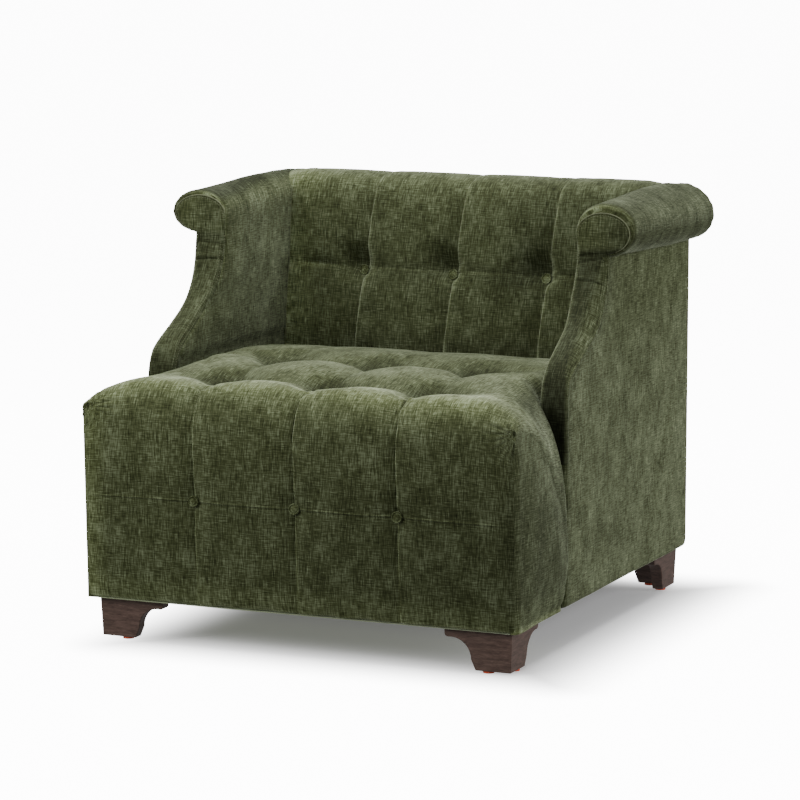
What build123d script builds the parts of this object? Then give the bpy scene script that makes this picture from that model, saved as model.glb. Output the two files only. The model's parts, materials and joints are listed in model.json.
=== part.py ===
"""Low armchair with a tufted seat block, S-fronted rolled arms and bracket feet.

Millimetres, floor at z = 0, front towards -Y, middle of the chair at x = 0.
Left and right are as seen from the front. Heights are from the floor.
"""

import os
from math import atan2, sqrt, tan

from build123d import *

os.makedirs("parts", exist_ok=True)

# Overall sizes
body_width = 812
body_depth = 871
front_swell = 15
foot_height = 75
back_height = 772
fit = 0.3

# Thicknesses of the build-up, from the room side to the frame
cover_front = 30
border_foam = 12
arm_pad = 14
side_ply = 26
outside_panel = 15
back_panel = 12
facing = 12
dust_cloth = 1

# Wooden frame
rail_thickness = 26
base_rail_height = 90
seat_rail_height = 90
deck_height = 312
tab_shoulder = 7
tab_height = 40
corner_block_leg = 100
corner_block_height = 40
tack_rail_height = 50
top_rail_height = 64
top_rail_drop = 10
back_rail_setback = 68
window_width = 80
window_height = 170

# Bracket feet
foot_inset = 14
foot_board = 24
foot_length = 124
foot_sole = 68
foot_tip = 16
foot_tip_radius = 6
foot_cove = 36
foot_taper = 3
glide_diameter = 20
glide_height = 4
glide_sides = 16
glide_from_sole_end = 20
glue_block = 56
glue_block_clear = 56
screw_diameter = 6
screw_sides = 6
screw_head = 12
screw_head_height = 4
screw_length = 34
screw_from_block_edge = 14

# Arms
arm_toe = 228
arm_toe_rise = 6
arm_toe_bend = 0.75
arm_neck = 420
arm_neck_drop = 115
arm_neck_bend = 2 / 3
roll_radius = 52
roll_drop = 3
roll_overhang = 49
roll_rail_width = 60
roll_rail_height = 60
roll_rail_rise = 35
scroll_board = 14
scroll_board_radius = 34
facing_edge = 2
facing_round = 9
scroll_bevel = 40
panel_corner = 18
panel_edge = 5

# Seat block
seat_height = 476
seat_crest = 50
corner_drop = 56
arm_drop = 205
tuft_depth = 48
crest_fall = 10
pleat_fall = 18
row_fall = 20
rear_fall = 4
end_fall = 29
slope_swell = 6
front_tuft_depth = 16
pleat_depth = 3
seat_pitch = 192
button_line = 261
shoulder_drop = 86
tuft_row_one = 140
tuft_row_two = 365
seat_core_drop = 81
seat_side_wall = 16
shoulder_power = 2.5
corner_pull = 0.8

# Back cushion
back_pitch = 186
back_depth = 216
back_foot_drop = 12
back_edge_drop = 37
back_crest_inset = 71
back_rear_drop = 12
back_core_drop = 60
back_core_front = 46
back_core_lean = 54
back_ear = 13
back_lean = 66
back_swell = 13
back_tuft_depth = 16
back_pleat_depth = 8
back_corner_foot = 45
back_corner_top = 14

# Suspension and buttons
strap_width = 50
strap_thickness = 2
long_straps = 5
cross_straps = 4
back_straps = 4
deck_cloth = 2
button_diameter = 22
button_height = 8
button_pocket = 3
button_clear = 1
button_rim = 3
button_sides = 12

# Places worked out from the sizes above
front_face = -(body_depth + front_swell) / 2 + front_swell
back_face = front_face + body_depth
body_half = body_width / 2
ply_outer = body_half - outside_panel
ply_inner = ply_outer - side_ply
arm_inner = ply_inner - arm_pad
frame_bottom = foot_height + dust_cloth
rail_front = front_face + cover_front + border_foam
frame_back = back_face - back_panel - fit
rail_back = frame_back - rail_thickness
seat_back = back_face - back_depth
back_rail_front = frame_back - back_rail_setback
roll_x = body_half + roll_overhang - roll_radius
roll_centre_height = back_height - roll_drop - roll_radius
roll_rail_bottom = roll_centre_height - roll_rail_rise
arm_toe_height = seat_height + arm_toe_rise
arm_neck_height = roll_centre_height - arm_neck_drop
arm_toe_radius = (arm_neck_height - arm_toe_height) * arm_toe_bend
arm_neck_radius = (arm_neck_height - arm_toe_height) * arm_neck_bend
shoulder_line = seat_height - shoulder_drop
seat_core_top = seat_height - seat_core_drop
back_foot_line = seat_height - back_foot_drop
back_edge_line = back_height - back_edge_drop
back_button_line = (back_foot_line + back_edge_line) / 2
back_core_top = back_height - back_core_drop
arm_front = front_face + arm_toe
neck_front = front_face + arm_neck
roll_front = neck_front + facing + fit
seat_rail_top = deck_height - strap_thickness
deck_top = deck_height + strap_thickness + deck_cloth
arm_turn = atan2(arm_neck - arm_toe, arm_neck_height - arm_toe_height)
both_sides = ((-1, "left"), (1, "right"))


def write(piece, name):
    piece.part.label = name
    export_step(piece.part, f"parts/{name}.step")


def arm_line(inset, bottom, top):
    """The S-curved front edge of an arm from bottom to top, set back by inset."""
    lift = inset * tan(arm_turn / 2)
    FilletPolyline(
        (arm_front + inset, bottom),
        (arm_front + inset, arm_toe_height - lift),
        (neck_front + inset, arm_neck_height - lift),
        (neck_front + inset, top),
        radius=[arm_toe_radius - inset, arm_neck_radius + inset],
    )


# Bracket feet: two winged boards mitred into an L, narrower at the sole


def foot_wing():
    """Outline of one board in its own length and height, corner of the foot at zero."""
    tip_bottom = foot_height - foot_tip
    cove_start = foot_length - foot_tip_radius * 2
    cove_end = cove_start - foot_cove
    cove_drop = tip_bottom - foot_cove
    side = foot_cove * sqrt(0.5)
    Polyline(
        (cove_end, cove_drop),
        (foot_sole, glide_height),
        (0, glide_height),
        (0, foot_height),
        (foot_length, foot_height),
        (foot_length, tip_bottom + foot_tip_radius),
    )
    RadiusArc(
        (foot_length, tip_bottom + foot_tip_radius),
        (foot_length - foot_tip_radius, tip_bottom),
        foot_tip_radius,
    )
    Line((foot_length - foot_tip_radius, tip_bottom), (cove_start, tip_bottom))
    ThreePointArc(
        (cove_start, tip_bottom),
        (cove_start - side, cove_drop + side),
        (cove_end, cove_drop),
    )


def foot_corner(x_side, y_side):
    """Outer corner of a foot on the floor."""
    x = x_side * (body_half - foot_inset)
    y = front_face + foot_inset if y_side < 0 else back_face - foot_inset
    return x, y


feet = (
    (-1, -1, "foot_front_left"),
    (1, -1, "foot_front_right"),
    (-1, 1, "foot_rear_left"),
    (1, 1, "foot_rear_right"),
)
for x_side, y_side, name in feet:
    x, y = foot_corner(x_side, y_side)
    front_plane = Plane((x, y, 0), x_dir=(-x_side, 0, 0), z_dir=(0, x_side, 0))
    side_plane = Plane((x, y, 0), x_dir=(0, -y_side, 0), z_dir=(-y_side, 0, 0))
    with BuildPart() as foot:
        with BuildSketch(front_plane):
            with BuildLine():
                foot_wing()
            make_face()
        extrude(amount=-foot_board * x_side * y_side)
        with BuildSketch(side_plane):
            with BuildLine():
                foot_wing()
            make_face()
        extrude(amount=foot_board * x_side * y_side)
        corner = Plane((x, y, 0), x_dir=(-x_side, 0, 0), z_dir=(0, 0, x_side * y_side))
        for level, taper in ((glide_height, foot_taper), (foot_height, 0)):
            with BuildSketch(corner.offset(level * x_side * y_side)):
                Polygon(
                    (taper, taper),
                    (foot_length, taper),
                    (foot_length, foot_length),
                    (taper, foot_length),
                    align=None,
                )
        loft(mode=Mode.INTERSECT)
    write(foot, name)

near = foot_taper + foot_board / 2
far = foot_sole - glide_from_sole_end
glide_places = []
for x_side, y_side, name in feet:
    x, y = foot_corner(x_side, y_side)
    glide_places += [(x - x_side * far, y - y_side * near), (x - x_side * near, y - y_side * far)]
with BuildPart() as foot_glides:
    with BuildSketch():
        with Locations(*glide_places):
            RegularPolygon(glide_diameter / 2, glide_sides)
    extrude(amount=glide_height)
write(foot_glides, "foot_glides")


def block_places():
    """Middle of the glue block behind each foot, and the place of its screw."""
    reach = foot_board + glue_block - screw_from_block_edge
    for x_side, y_side, name in feet:
        x, y = foot_corner(x_side, y_side)
        centre = foot_board + glue_block / 2
        yield (x - x_side * centre, y - y_side * centre), (x - x_side * reach, y - y_side * reach)


block_centres = [centre for centre, screw in block_places()]
screw_places = [screw for centre, screw in block_places()]
screw_bottom = glue_block_clear - screw_head_height
screw_hole = screw_diameter / 2 + fit
upright = (Align.CENTER, Align.CENTER, Align.MIN)

with BuildPart() as foot_glue_blocks:
    with BuildSketch(Plane.XY.offset(glue_block_clear)):
        with Locations(*block_centres):
            Rectangle(glue_block, glue_block)
    extrude(amount=foot_height - glue_block_clear)
    with BuildSketch(Plane.XY.offset(glue_block_clear)):
        with Locations(*screw_places):
            RegularPolygon(screw_hole, screw_sides)
    extrude(amount=foot_height, mode=Mode.SUBTRACT)
write(foot_glue_blocks, "foot_glue_blocks")

with BuildPart() as foot_screws:
    with BuildSketch(Plane.XY.offset(screw_bottom)):
        with Locations(*screw_places):
            RegularPolygon(screw_head / 2, screw_sides)
    extrude(amount=screw_head_height)
    with BuildSketch(Plane.XY.offset(screw_bottom)):
        with Locations(*screw_places):
            RegularPolygon(screw_diameter / 2, screw_sides)
    extrude(amount=screw_length)
write(foot_screws, "foot_screws")

# Wooden frame: two plywood sides with rails tabbed into them

rails = (
    ("base_rail_front", rail_front, frame_bottom, base_rail_height),
    ("base_rail_back", rail_back, frame_bottom, base_rail_height),
    ("seat_rail_front", rail_front, deck_height - seat_rail_height, seat_rail_height),
    ("seat_rail_back", back_rail_front, deck_height - seat_rail_height, seat_rail_height),
    ("back_tack_rail", back_rail_front, deck_top + fit, tack_rail_height),
    ("back_top_rail", back_rail_front, roll_rail_bottom - top_rail_drop - top_rail_height, top_rail_height),
)
for name, y, bottom, height in rails:
    with BuildPart() as rail:
        with BuildSketch(Plane.YZ):
            with Locations((y + rail_thickness / 2, bottom + height / 2)):
                Rectangle(rail_thickness, height)
        extrude(amount=ply_inner, both=True)
        with BuildSketch(Plane.YZ):
            with Locations((y + rail_thickness / 2, bottom + height / 2)):
                Rectangle(rail_thickness - 2 * tab_shoulder, tab_height)
        extrude(amount=ply_outer, both=True)
    write(rail, name)

for side, hand in both_sides:
    with BuildPart() as side_frame:
        with BuildSketch(Plane.YZ.offset(side * ply_inner)):
            with BuildLine():
                arm_line(facing + fit, deck_height, roll_rail_bottom)
                Polyline(
                    (neck_front + facing + fit, roll_rail_bottom),
                    (frame_back, roll_rail_bottom),
                    (frame_back, frame_bottom),
                    (rail_front, frame_bottom),
                    (rail_front, deck_height),
                    (arm_front + facing + fit, deck_height),
                )
            make_face()
            for name, y, bottom, height in rails:
                with Locations((y + rail_thickness / 2, bottom + height / 2)):
                    Rectangle(rail_thickness - 2 * tab_shoulder, tab_height, mode=Mode.SUBTRACT)
            window_top = roll_rail_bottom - window_width
            window_rows = (deck_height + window_top) / 2
            window_first = neck_front + window_width
            with Locations((window_first, window_rows), (window_first + window_width * 2, window_rows)):
                RectangleRounded(window_width, window_height, window_width / 3, mode=Mode.SUBTRACT)
        extrude(amount=side * side_ply)
    write(side_frame, f"side_frame_{hand}")

    with BuildPart() as seat_side_rail:
        with BuildSketch(Plane.YZ.offset(side * ply_inner)):
            with BuildLine():
                Polyline(
                    (rail_front + rail_thickness, seat_rail_top - seat_rail_height + strap_thickness),
                    (back_rail_front, seat_rail_top - seat_rail_height + strap_thickness),
                    (back_rail_front, seat_rail_top),
                    (rail_front + rail_thickness, seat_rail_top),
                    close=True,
                )
            make_face()
        extrude(amount=-side * rail_thickness)
    write(seat_side_rail, f"seat_rail_{hand}")

with BuildPart() as corner_blocks:
    for side, hand in both_sides:
        for y, back in ((rail_front + rail_thickness, 1), (rail_back, -1)):
            with BuildSketch(Plane.XY.offset(frame_bottom)):
                with BuildLine():
                    Polyline(
                        (side * ply_inner, y),
                        (side * (ply_inner - corner_block_leg), y),
                        (side * ply_inner, y + back * corner_block_leg),
                        close=True,
                    )
                make_face()
            extrude(amount=corner_block_height)
    with BuildSketch(Plane.XY.offset(frame_bottom)):
        with Locations(*screw_places):
            RegularPolygon(screw_hole, screw_sides)
    extrude(amount=corner_block_height, mode=Mode.SUBTRACT)
write(corner_blocks, "corner_blocks")

for side, hand in both_sides:
    with BuildPart() as roll_rail:
        with BuildSketch(Plane.XZ.offset(-(roll_front + scroll_board))):
            with Locations((side * (ply_inner + roll_rail_width / 2), roll_rail_bottom + roll_rail_height / 2)):
                RectangleRounded(roll_rail_width, roll_rail_height, panel_edge)
        extrude(amount=roll_front + scroll_board - frame_back)
    write(roll_rail, f"arm_roll_rail_{hand}")

    with BuildPart() as scroll:
        with BuildSketch(Plane.XZ.offset(-roll_front)):
            with Locations((side * roll_x, roll_centre_height)):
                Circle(scroll_board_radius)
            with Locations((side * roll_x, roll_rail_bottom)):
                Rectangle(
                    roll_radius * 2,
                    roll_radius,
                    align=(Align.CENTER, Align.MAX),
                    mode=Mode.SUBTRACT,
                )
        extrude(amount=-scroll_board)
    write(scroll, f"arm_scroll_board_{hand}")

# Suspension: webbing under the seat and behind the back

with BuildPart() as seat_webbing_cross:
    cross_span = back_rail_front - rail_front - rail_thickness
    cross_gap = cross_span / cross_straps
    for number in range(cross_straps):
        y = rail_front + rail_thickness + cross_gap * (number + 0.5)
        with Locations((0, y, seat_rail_top)):
            Box(ply_inner * 2 - arm_pad, strap_width, strap_thickness, align=upright)
write(seat_webbing_cross, "seat_webbing_cross")

with BuildPart() as seat_webbing_long:
    long_gap = (arm_inner - seat_side_wall) * 2 / long_straps
    long_length = back_rail_front + rail_thickness - rail_front
    for number in range(long_straps):
        x = long_gap * (number + 0.5 - long_straps / 2)
        with Locations((x, rail_front + long_length / 2, deck_height)):
            Box(strap_width, long_length, strap_thickness, align=upright)
write(seat_webbing_long, "seat_webbing_long")

with BuildPart() as seat_deck_cloth:
    cloth_half = arm_inner - seat_side_wall
    with BuildSketch(Plane.XY.offset(deck_height + strap_thickness)):
        with BuildLine():
            Polyline(
                (-cloth_half, rail_front),
                (cloth_half, rail_front),
                (cloth_half, back_rail_front + rail_thickness),
                (-cloth_half, back_rail_front + rail_thickness),
                close=True,
            )
        make_face()
    extrude(amount=deck_cloth)
write(seat_deck_cloth, "seat_deck_cloth")

with BuildPart() as back_webbing:
    strap_top = roll_rail_bottom - top_rail_drop
    strap_gap = (arm_inner - seat_side_wall) * 2 / back_straps
    for number in range(back_straps):
        x = strap_gap * (number + 0.5 - back_straps / 2)
        with Locations((x, back_rail_front - strap_thickness / 2, deck_top + fit)):
            Box(strap_width, strap_thickness, strap_top - deck_top - fit, align=upright)
write(back_webbing, "back_webbing")

# Seat block: foam core under a tufted cover whose cells are lofted panel by panel

cell_shares = (0, 0.2, 0.5, 0.8, 1)
edge_shares = (0, 0.2, 0.5, 0.7, 0.85, 1)


def pillow(share):
    """Crown of a cell at a share of its width: 0 in its pleats and 1 in the middle."""
    return 1 - (2 * share - 1) ** 2


def seat_section(x, crown, edge):
    """One front-to-back section of the seat at x.

    crown runs from 0 in a pleat to 1 at the middle of a cell, edge from 0 to 1 at the side.
    """
    crest_y = front_face + seat_crest
    row_one = front_face + tuft_row_one
    row_two = front_face + tuft_row_two

    def front(height, sink, swell):
        stand = sink - (sink + swell) * crown
        return front_face + stand * (1 - corner_pull * edge**2), height

    def top(y, pleat, cell):
        towards_arm = min((y - crest_y) / (arm_gap - crest_y), 1)
        drop = corner_drop + (arm_drop - corner_drop) * towards_arm
        return y, seat_height - pleat + (pleat - cell) * crown - drop * edge**shoulder_power

    bottom = (front_face, foot_height)
    low = front((foot_height + button_line) / 2, pleat_depth, front_swell)
    button = front(button_line, front_tuft_depth, front_swell / 2)
    high = front((button_line + shoulder_line) / 2, pleat_depth, front_swell)
    shoulder = front(shoulder_line, pleat_depth, front_swell - pleat_depth)
    crest = top(crest_y, crest_fall + pleat_fall, crest_fall)
    turn = (
        crest_y - (crest_y - shoulder[0]) * sqrt(0.5),
        shoulder_line + (crest[1] - shoulder_line) * sqrt(0.5),
    )
    tuft_one = top(row_one, tuft_depth, row_fall)
    slope = ((crest_y + row_one) / 2, (crest[1] + tuft_one[1]) / 2 + slope_swell)
    middle = top((row_one + row_two) / 2, pleat_fall, 0)
    tuft_two = top(row_two, tuft_depth, row_fall)
    rear = top((row_two + seat_back) / 2, rear_fall + pleat_fall, rear_fall)
    end = top(seat_back, end_fall + pleat_depth, end_fall)
    with BuildSketch(Plane.YZ.offset(x)) as section:
        with BuildLine():
            ThreePointArc(bottom, low, button)
            ThreePointArc(button, high, shoulder)
            ThreePointArc(shoulder, turn, crest)
            ThreePointArc(crest, slope, tuft_one)
            ThreePointArc(tuft_one, middle, tuft_two)
            ThreePointArc(tuft_two, rear, end)
            Polyline(end, (seat_back, foot_height), bottom)
        make_face()
    return section.sketch


side_panel = body_half - seat_pitch
core_front = front_face + cover_front
core_half = ply_outer + fit
rear_half = arm_inner - seat_side_wall
arm_gap = arm_front - fit
core_back = seat_back - seat_side_wall
front_pocket = front_face + front_tuft_depth + button_pocket
top_pocket = seat_height - tuft_depth - button_pocket
columns = (-seat_pitch, 0, seat_pitch)
front_buttons = [(x, button_line) for x in columns]
top_buttons = [(x, front_face + row) for x in columns for row in (tuft_row_one, tuft_row_two)]
with BuildPart() as seat_cover:
    for side, hand in both_sides:
        cells = [seat_section(side * seat_pitch * share, pillow(share), 0) for share in cell_shares]
        loft(sections=cells, ruled=True)
        edge_cells = []
        for share in edge_shares:
            x = side * (seat_pitch + side_panel * share)
            edge_cells.append(seat_section(x, pillow(min(share, 0.5)), max(2 * share - 1, 0)))
        loft(sections=edge_cells, ruled=True)
    with BuildSketch(Plane.XY.offset(foot_height)):
        for side, hand in both_sides:
            with BuildLine():
                Polyline(
                    (side * (arm_inner - fit), arm_gap),
                    (side * body_width, arm_gap),
                    (side * body_width, back_face),
                    (side * (arm_inner - fit), back_face),
                    close=True,
                )
            make_face()
    extrude(amount=back_height, mode=Mode.SUBTRACT)
    with BuildSketch(Plane.XY.offset(foot_height)):
        with BuildLine():
            Polyline(
                (-core_half, core_front),
                (core_half, core_front),
                (core_half, back_face),
                (-core_half, back_face),
                close=True,
            )
        make_face()
    extrude(amount=deck_top - foot_height, mode=Mode.SUBTRACT)
    with BuildSketch(Plane.XY.offset(deck_top)):
        with BuildLine():
            Polyline(
                (-rear_half, core_front),
                (rear_half, core_front),
                (rear_half, core_back),
                (-rear_half, core_back),
                close=True,
            )
        make_face()
    extrude(amount=seat_core_top - deck_top, mode=Mode.SUBTRACT)
    with BuildSketch(Plane.XZ.offset(-front_pocket)):
        with Locations(*front_buttons):
            RegularPolygon(button_diameter / 2 + button_clear, button_sides)
    extrude(amount=front_tuft_depth + front_swell * 2, mode=Mode.SUBTRACT)
    with BuildSketch(Plane.XY.offset(top_pocket)):
        with Locations(*top_buttons):
            RegularPolygon(button_diameter / 2 + button_clear, button_sides)
    extrude(amount=tuft_depth, mode=Mode.SUBTRACT)
write(seat_cover, "seat_tufted_cover")

with BuildPart() as seat_foam:
    with BuildSketch(Plane.XY.offset(deck_top)):
        with BuildLine():
            Polyline(
                (-rear_half, core_front),
                (rear_half, core_front),
                (rear_half, core_back),
                (-rear_half, core_back),
                close=True,
            )
        make_face()
    extrude(amount=seat_core_top - deck_top)
write(seat_foam, "seat_foam_core")

with BuildPart() as front_foam:
    with BuildSketch(Plane.YZ):
        with BuildLine():
            Polyline(
                (core_front, foot_height),
                (rail_front, foot_height),
                (rail_front, deck_top),
                (core_front, deck_top),
                close=True,
            )
        make_face()
    extrude(amount=ply_outer, both=True)
write(front_foam, "front_border_foam")


def buttons_on(plane, places):
    """Cloth-covered buttons standing on a plane, bevelled round their fronts."""
    with BuildPart() as buttons:
        with BuildSketch(plane):
            with Locations(*places):
                RegularPolygon(button_diameter / 2, button_sides)
        extrude(amount=button_height)
        fronts = buttons.faces().group_by(Axis(plane.origin, plane.z_dir))[-1]
        chamfer(fronts.edges(), button_height - button_rim)
    return buttons.part


with BuildPart() as seat_buttons:
    add(buttons_on(Plane.XZ.offset(-front_pocket), front_buttons))
    add(buttons_on(Plane.XY.offset(top_pocket), top_buttons))
write(seat_buttons, "seat_buttons")

# Back cushion: four lofted panels that lean back and turn over the top


def back_section(x, crown, corner):
    """One upright section of the back at x.

    crown runs from 0 in a pleat to 1 at the middle of a cell, corner is 1 where an arm meets it.
    """

    def face(height, swell, sink):
        share = (height - back_foot_line) / (back_edge_line - back_foot_line)
        line = seat_back + fit + back_lean * share
        middle = line + sink - (swell + sink) * crown
        side = line + back_corner_foot + (back_corner_top - back_corner_foot) * share
        side -= swell * (1 - corner_pull)
        return middle + (side - middle) * corner, height

    foot = face(back_foot_line, 0, back_pleat_depth * 2)
    low = face((back_foot_line + back_button_line) / 2, back_swell, back_pleat_depth)
    tuft = face(back_button_line, 0, back_tuft_depth)
    high = face((back_button_line + back_edge_line) / 2, back_swell, 0)
    edge = face(back_edge_line, 0, back_pleat_depth)
    crest = (back_face - back_crest_inset, back_height - back_pleat_depth / 2 * (1 - crown))
    rear = (frame_back, back_height - back_rear_drop)
    turn = (
        crest[0] - (crest[0] - edge[0]) * sqrt(0.5),
        edge[1] + (crest[1] - edge[1]) * sqrt(0.5),
    )
    over = ((crest[0] + rear[0]) / 2, crest[1] - back_rear_drop / 4)
    with BuildSketch(Plane.YZ.offset(x)) as section:
        with BuildLine():
            Line((seat_back + fit, deck_top + fit), foot)
            ThreePointArc(foot, low, tuft)
            ThreePointArc(tuft, high, edge)
            ThreePointArc(edge, turn, crest)
            ThreePointArc(crest, over, rear)
            Polyline(rear, (frame_back, deck_top + fit), (seat_back + fit, deck_top + fit))
        make_face()
    return section.sketch


def back_core(grow):
    """Side outline of the foam behind the back cover, and of the room for it."""
    front = seat_back + fit + back_core_front
    Polyline(
        (front, deck_top + fit),
        (front + back_core_lean, back_core_top),
        (back_rail_front - strap_thickness + grow, back_core_top),
        (back_rail_front - strap_thickness + grow, deck_top + fit),
        close=True,
    )


back_half = arm_inner - fit
back_pocket = seat_back + fit + back_lean / 2 + back_tuft_depth + button_pocket
back_buttons_at = [(x, back_button_line) for x in (-back_pitch, 0, back_pitch)]
with BuildPart() as back_cover:
    for side, hand in both_sides:
        cells = [back_section(side * back_pitch * share, pillow(share), 0) for share in cell_shares]
        loft(sections=cells, ruled=True)
        edge_cells = []
        for share in edge_shares:
            x = side * (back_pitch + (back_half - back_pitch) * share)
            edge_cells.append(back_section(x, pillow(min(share, 0.5)), max(2 * share - 1, 0) ** 2))
        loft(sections=edge_cells, ruled=True)
        ear = roll_x - back_ear - back_half
        extrude(back_section(side * back_half, 0, 1), amount=side * ear)
        with BuildSketch(Plane.XZ.offset(-back_face)):
            with Locations((side * roll_x, roll_centre_height)):
                Circle(roll_radius + fit)
            with Locations((side * back_half, roll_centre_height)):
                outward = Align.MIN if side > 0 else Align.MAX
                Rectangle(body_half, back_height, align=(outward, Align.MAX))
        extrude(amount=body_depth, mode=Mode.SUBTRACT)
    with BuildSketch(Plane.YZ):
        with BuildLine():
            back_core(back_face)
        make_face()
    extrude(amount=rear_half, both=True, mode=Mode.SUBTRACT)
    with BuildSketch(Plane.YZ):
        with BuildLine():
            Polyline(
                (back_rail_front - strap_thickness, deck_top),
                (frame_back + back_panel, deck_top),
                (frame_back + back_panel, roll_rail_bottom),
                (back_rail_front - strap_thickness, roll_rail_bottom),
                close=True,
            )
        make_face()
    extrude(amount=back_half, both=True, mode=Mode.SUBTRACT)
    with BuildSketch(Plane.XZ.offset(-back_pocket)):
        with Locations(*back_buttons_at):
            RegularPolygon(button_diameter / 2 + button_clear, button_sides)
    extrude(amount=back_tuft_depth + back_swell * 3, mode=Mode.SUBTRACT)
write(back_cover, "back_tufted_cover")

with BuildPart() as back_buttons:
    add(buttons_on(Plane.XZ.offset(-back_pocket), back_buttons_at))
write(back_buttons, "back_buttons")

with BuildPart() as back_foam:
    with BuildSketch(Plane.YZ):
        with BuildLine():
            back_core(0)
        make_face()
    extrude(amount=rear_half, both=True)
write(back_foam, "back_foam")

# Arms: inside cover with the roll, facing strip with its scroll end, outside panel

panel_top = roll_centre_height - roll_radius - fit
forward_lean = 0.1
for side, hand in both_sides:
    roll_axis = (side * roll_x, roll_centre_height)
    with BuildPart() as inside_arm:
        with BuildSketch(Plane.YZ.offset(side * arm_inner)):
            with BuildLine():
                arm_line(facing + fit, deck_height + fit, roll_centre_height)
                Polyline(
                    (roll_front, roll_centre_height),
                    (back_rail_front - fit, roll_centre_height),
                    (back_rail_front - fit, deck_height + fit),
                    (arm_front + facing + fit, deck_height + fit),
                )
            make_face()
        extrude(amount=side * arm_pad)
        with BuildSketch(Plane.XZ.offset(-roll_front)):
            with Locations(roll_axis):
                Circle(roll_radius)
        extrude(amount=roll_front - frame_back)
        with BuildSketch(Plane.XZ.offset(-roll_front)):
            with Locations((side * (ply_inner + roll_rail_width / 2), roll_rail_bottom + roll_rail_height / 2)):
                RectangleRounded(roll_rail_width, roll_rail_height, panel_edge)
            with Locations((side * (ply_inner + side_ply / 2), roll_rail_bottom + panel_edge)):
                Rectangle(side_ply, roll_radius, align=(Align.CENTER, Align.MAX))
        extrude(amount=roll_front - frame_back, mode=Mode.SUBTRACT)
        with BuildSketch(Plane.XZ.offset(-roll_front)):
            with Locations(roll_axis):
                Circle(scroll_board_radius)
        extrude(amount=-scroll_board, mode=Mode.SUBTRACT)
    write(inside_arm, f"inside_arm_cover_{hand}")

    with BuildPart() as arm_facing:
        with BuildSketch(Plane.YZ.offset(side * (arm_inner + facing_edge))):
            with BuildLine():
                arm_line(0, deck_height + fit, roll_centre_height)
                arm_line(facing, deck_height + fit, roll_centre_height)
                Line((arm_front, deck_height + fit), (arm_front + facing, deck_height + fit))
                Line((neck_front, roll_centre_height), (neck_front + facing, roll_centre_height))
            make_face()
        extrude(amount=side * (body_half - arm_inner - facing_edge))
        outer_face = arm_facing.faces().sort_by(Axis.X)[-1 if side > 0 else 0]
        front_faces = arm_facing.faces().filter_by(lambda face: face.normal_at().Y < -forward_lean)
        chamfer(outer_face.edges() & front_faces.edges(), facing_round)
        with BuildSketch(Plane.XZ.offset(-neck_front - facing / 2)):
            with Locations(roll_axis):
                Circle(roll_radius - facing_edge)
        extrude(amount=-facing / 2)
        with BuildSketch(Plane.XZ.offset(-neck_front - facing / 2)):
            with Locations(roll_axis):
                Circle(roll_radius - facing_edge)
        extrude(amount=facing / 2, taper=scroll_bevel)
    write(arm_facing, f"arm_facing_{hand}")

    with BuildPart() as outside_arm:
        with BuildSketch(Plane.YZ.offset(side * ply_outer)):
            with BuildLine():
                arm_line(facing + fit, deck_height, panel_top)
                Polyline(
                    (neck_front + facing + fit, panel_top),
                    (frame_back, panel_top),
                    (frame_back, foot_height + panel_corner),
                )
                RadiusArc(
                    (frame_back, foot_height + panel_corner),
                    (frame_back - panel_corner, foot_height),
                    panel_corner,
                )
                Polyline(
                    (frame_back - panel_corner, foot_height),
                    (arm_front, foot_height),
                    (arm_front, deck_height),
                    (arm_front + facing + fit, deck_height),
                )
            make_face()
        extrude(amount=side * outside_panel)
    write(outside_arm, f"outside_arm_panel_{hand}")

# Outside back with an ear behind each roll, and the cloth under the seat

with BuildPart() as outside_back:
    with BuildSketch(Plane.XZ.offset(-back_face)):
        with BuildLine():
            Polyline(
                (-body_half, foot_height),
                (body_half, foot_height),
                (body_half, back_height - back_rear_drop),
                (-body_half, back_height - back_rear_drop),
                close=True,
            )
        make_face()
        with Locations((-roll_x, roll_centre_height), (roll_x, roll_centre_height)):
            Circle(roll_radius)
    extrude(amount=back_panel)
write(outside_back, "outside_back_panel")

with BuildPart() as dust_cover:
    with BuildSketch(Plane.XY.offset(foot_height)):
        with BuildLine():
            Polyline(
                (-ply_outer, rail_front),
                (ply_outer, rail_front),
                (ply_outer, frame_back),
                (-ply_outer, frame_back),
                close=True,
            )
        make_face()
        with Locations(*screw_places):
            RegularPolygon(screw_hole, screw_sides, mode=Mode.SUBTRACT)
    extrude(amount=dust_cloth)
write(dust_cover, "dust_cover")
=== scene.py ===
import json
import math
import bmesh
import bpy
import numpy as np
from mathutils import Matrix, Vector, noise
from mathutils.bvhtree import BVHTree


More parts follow.
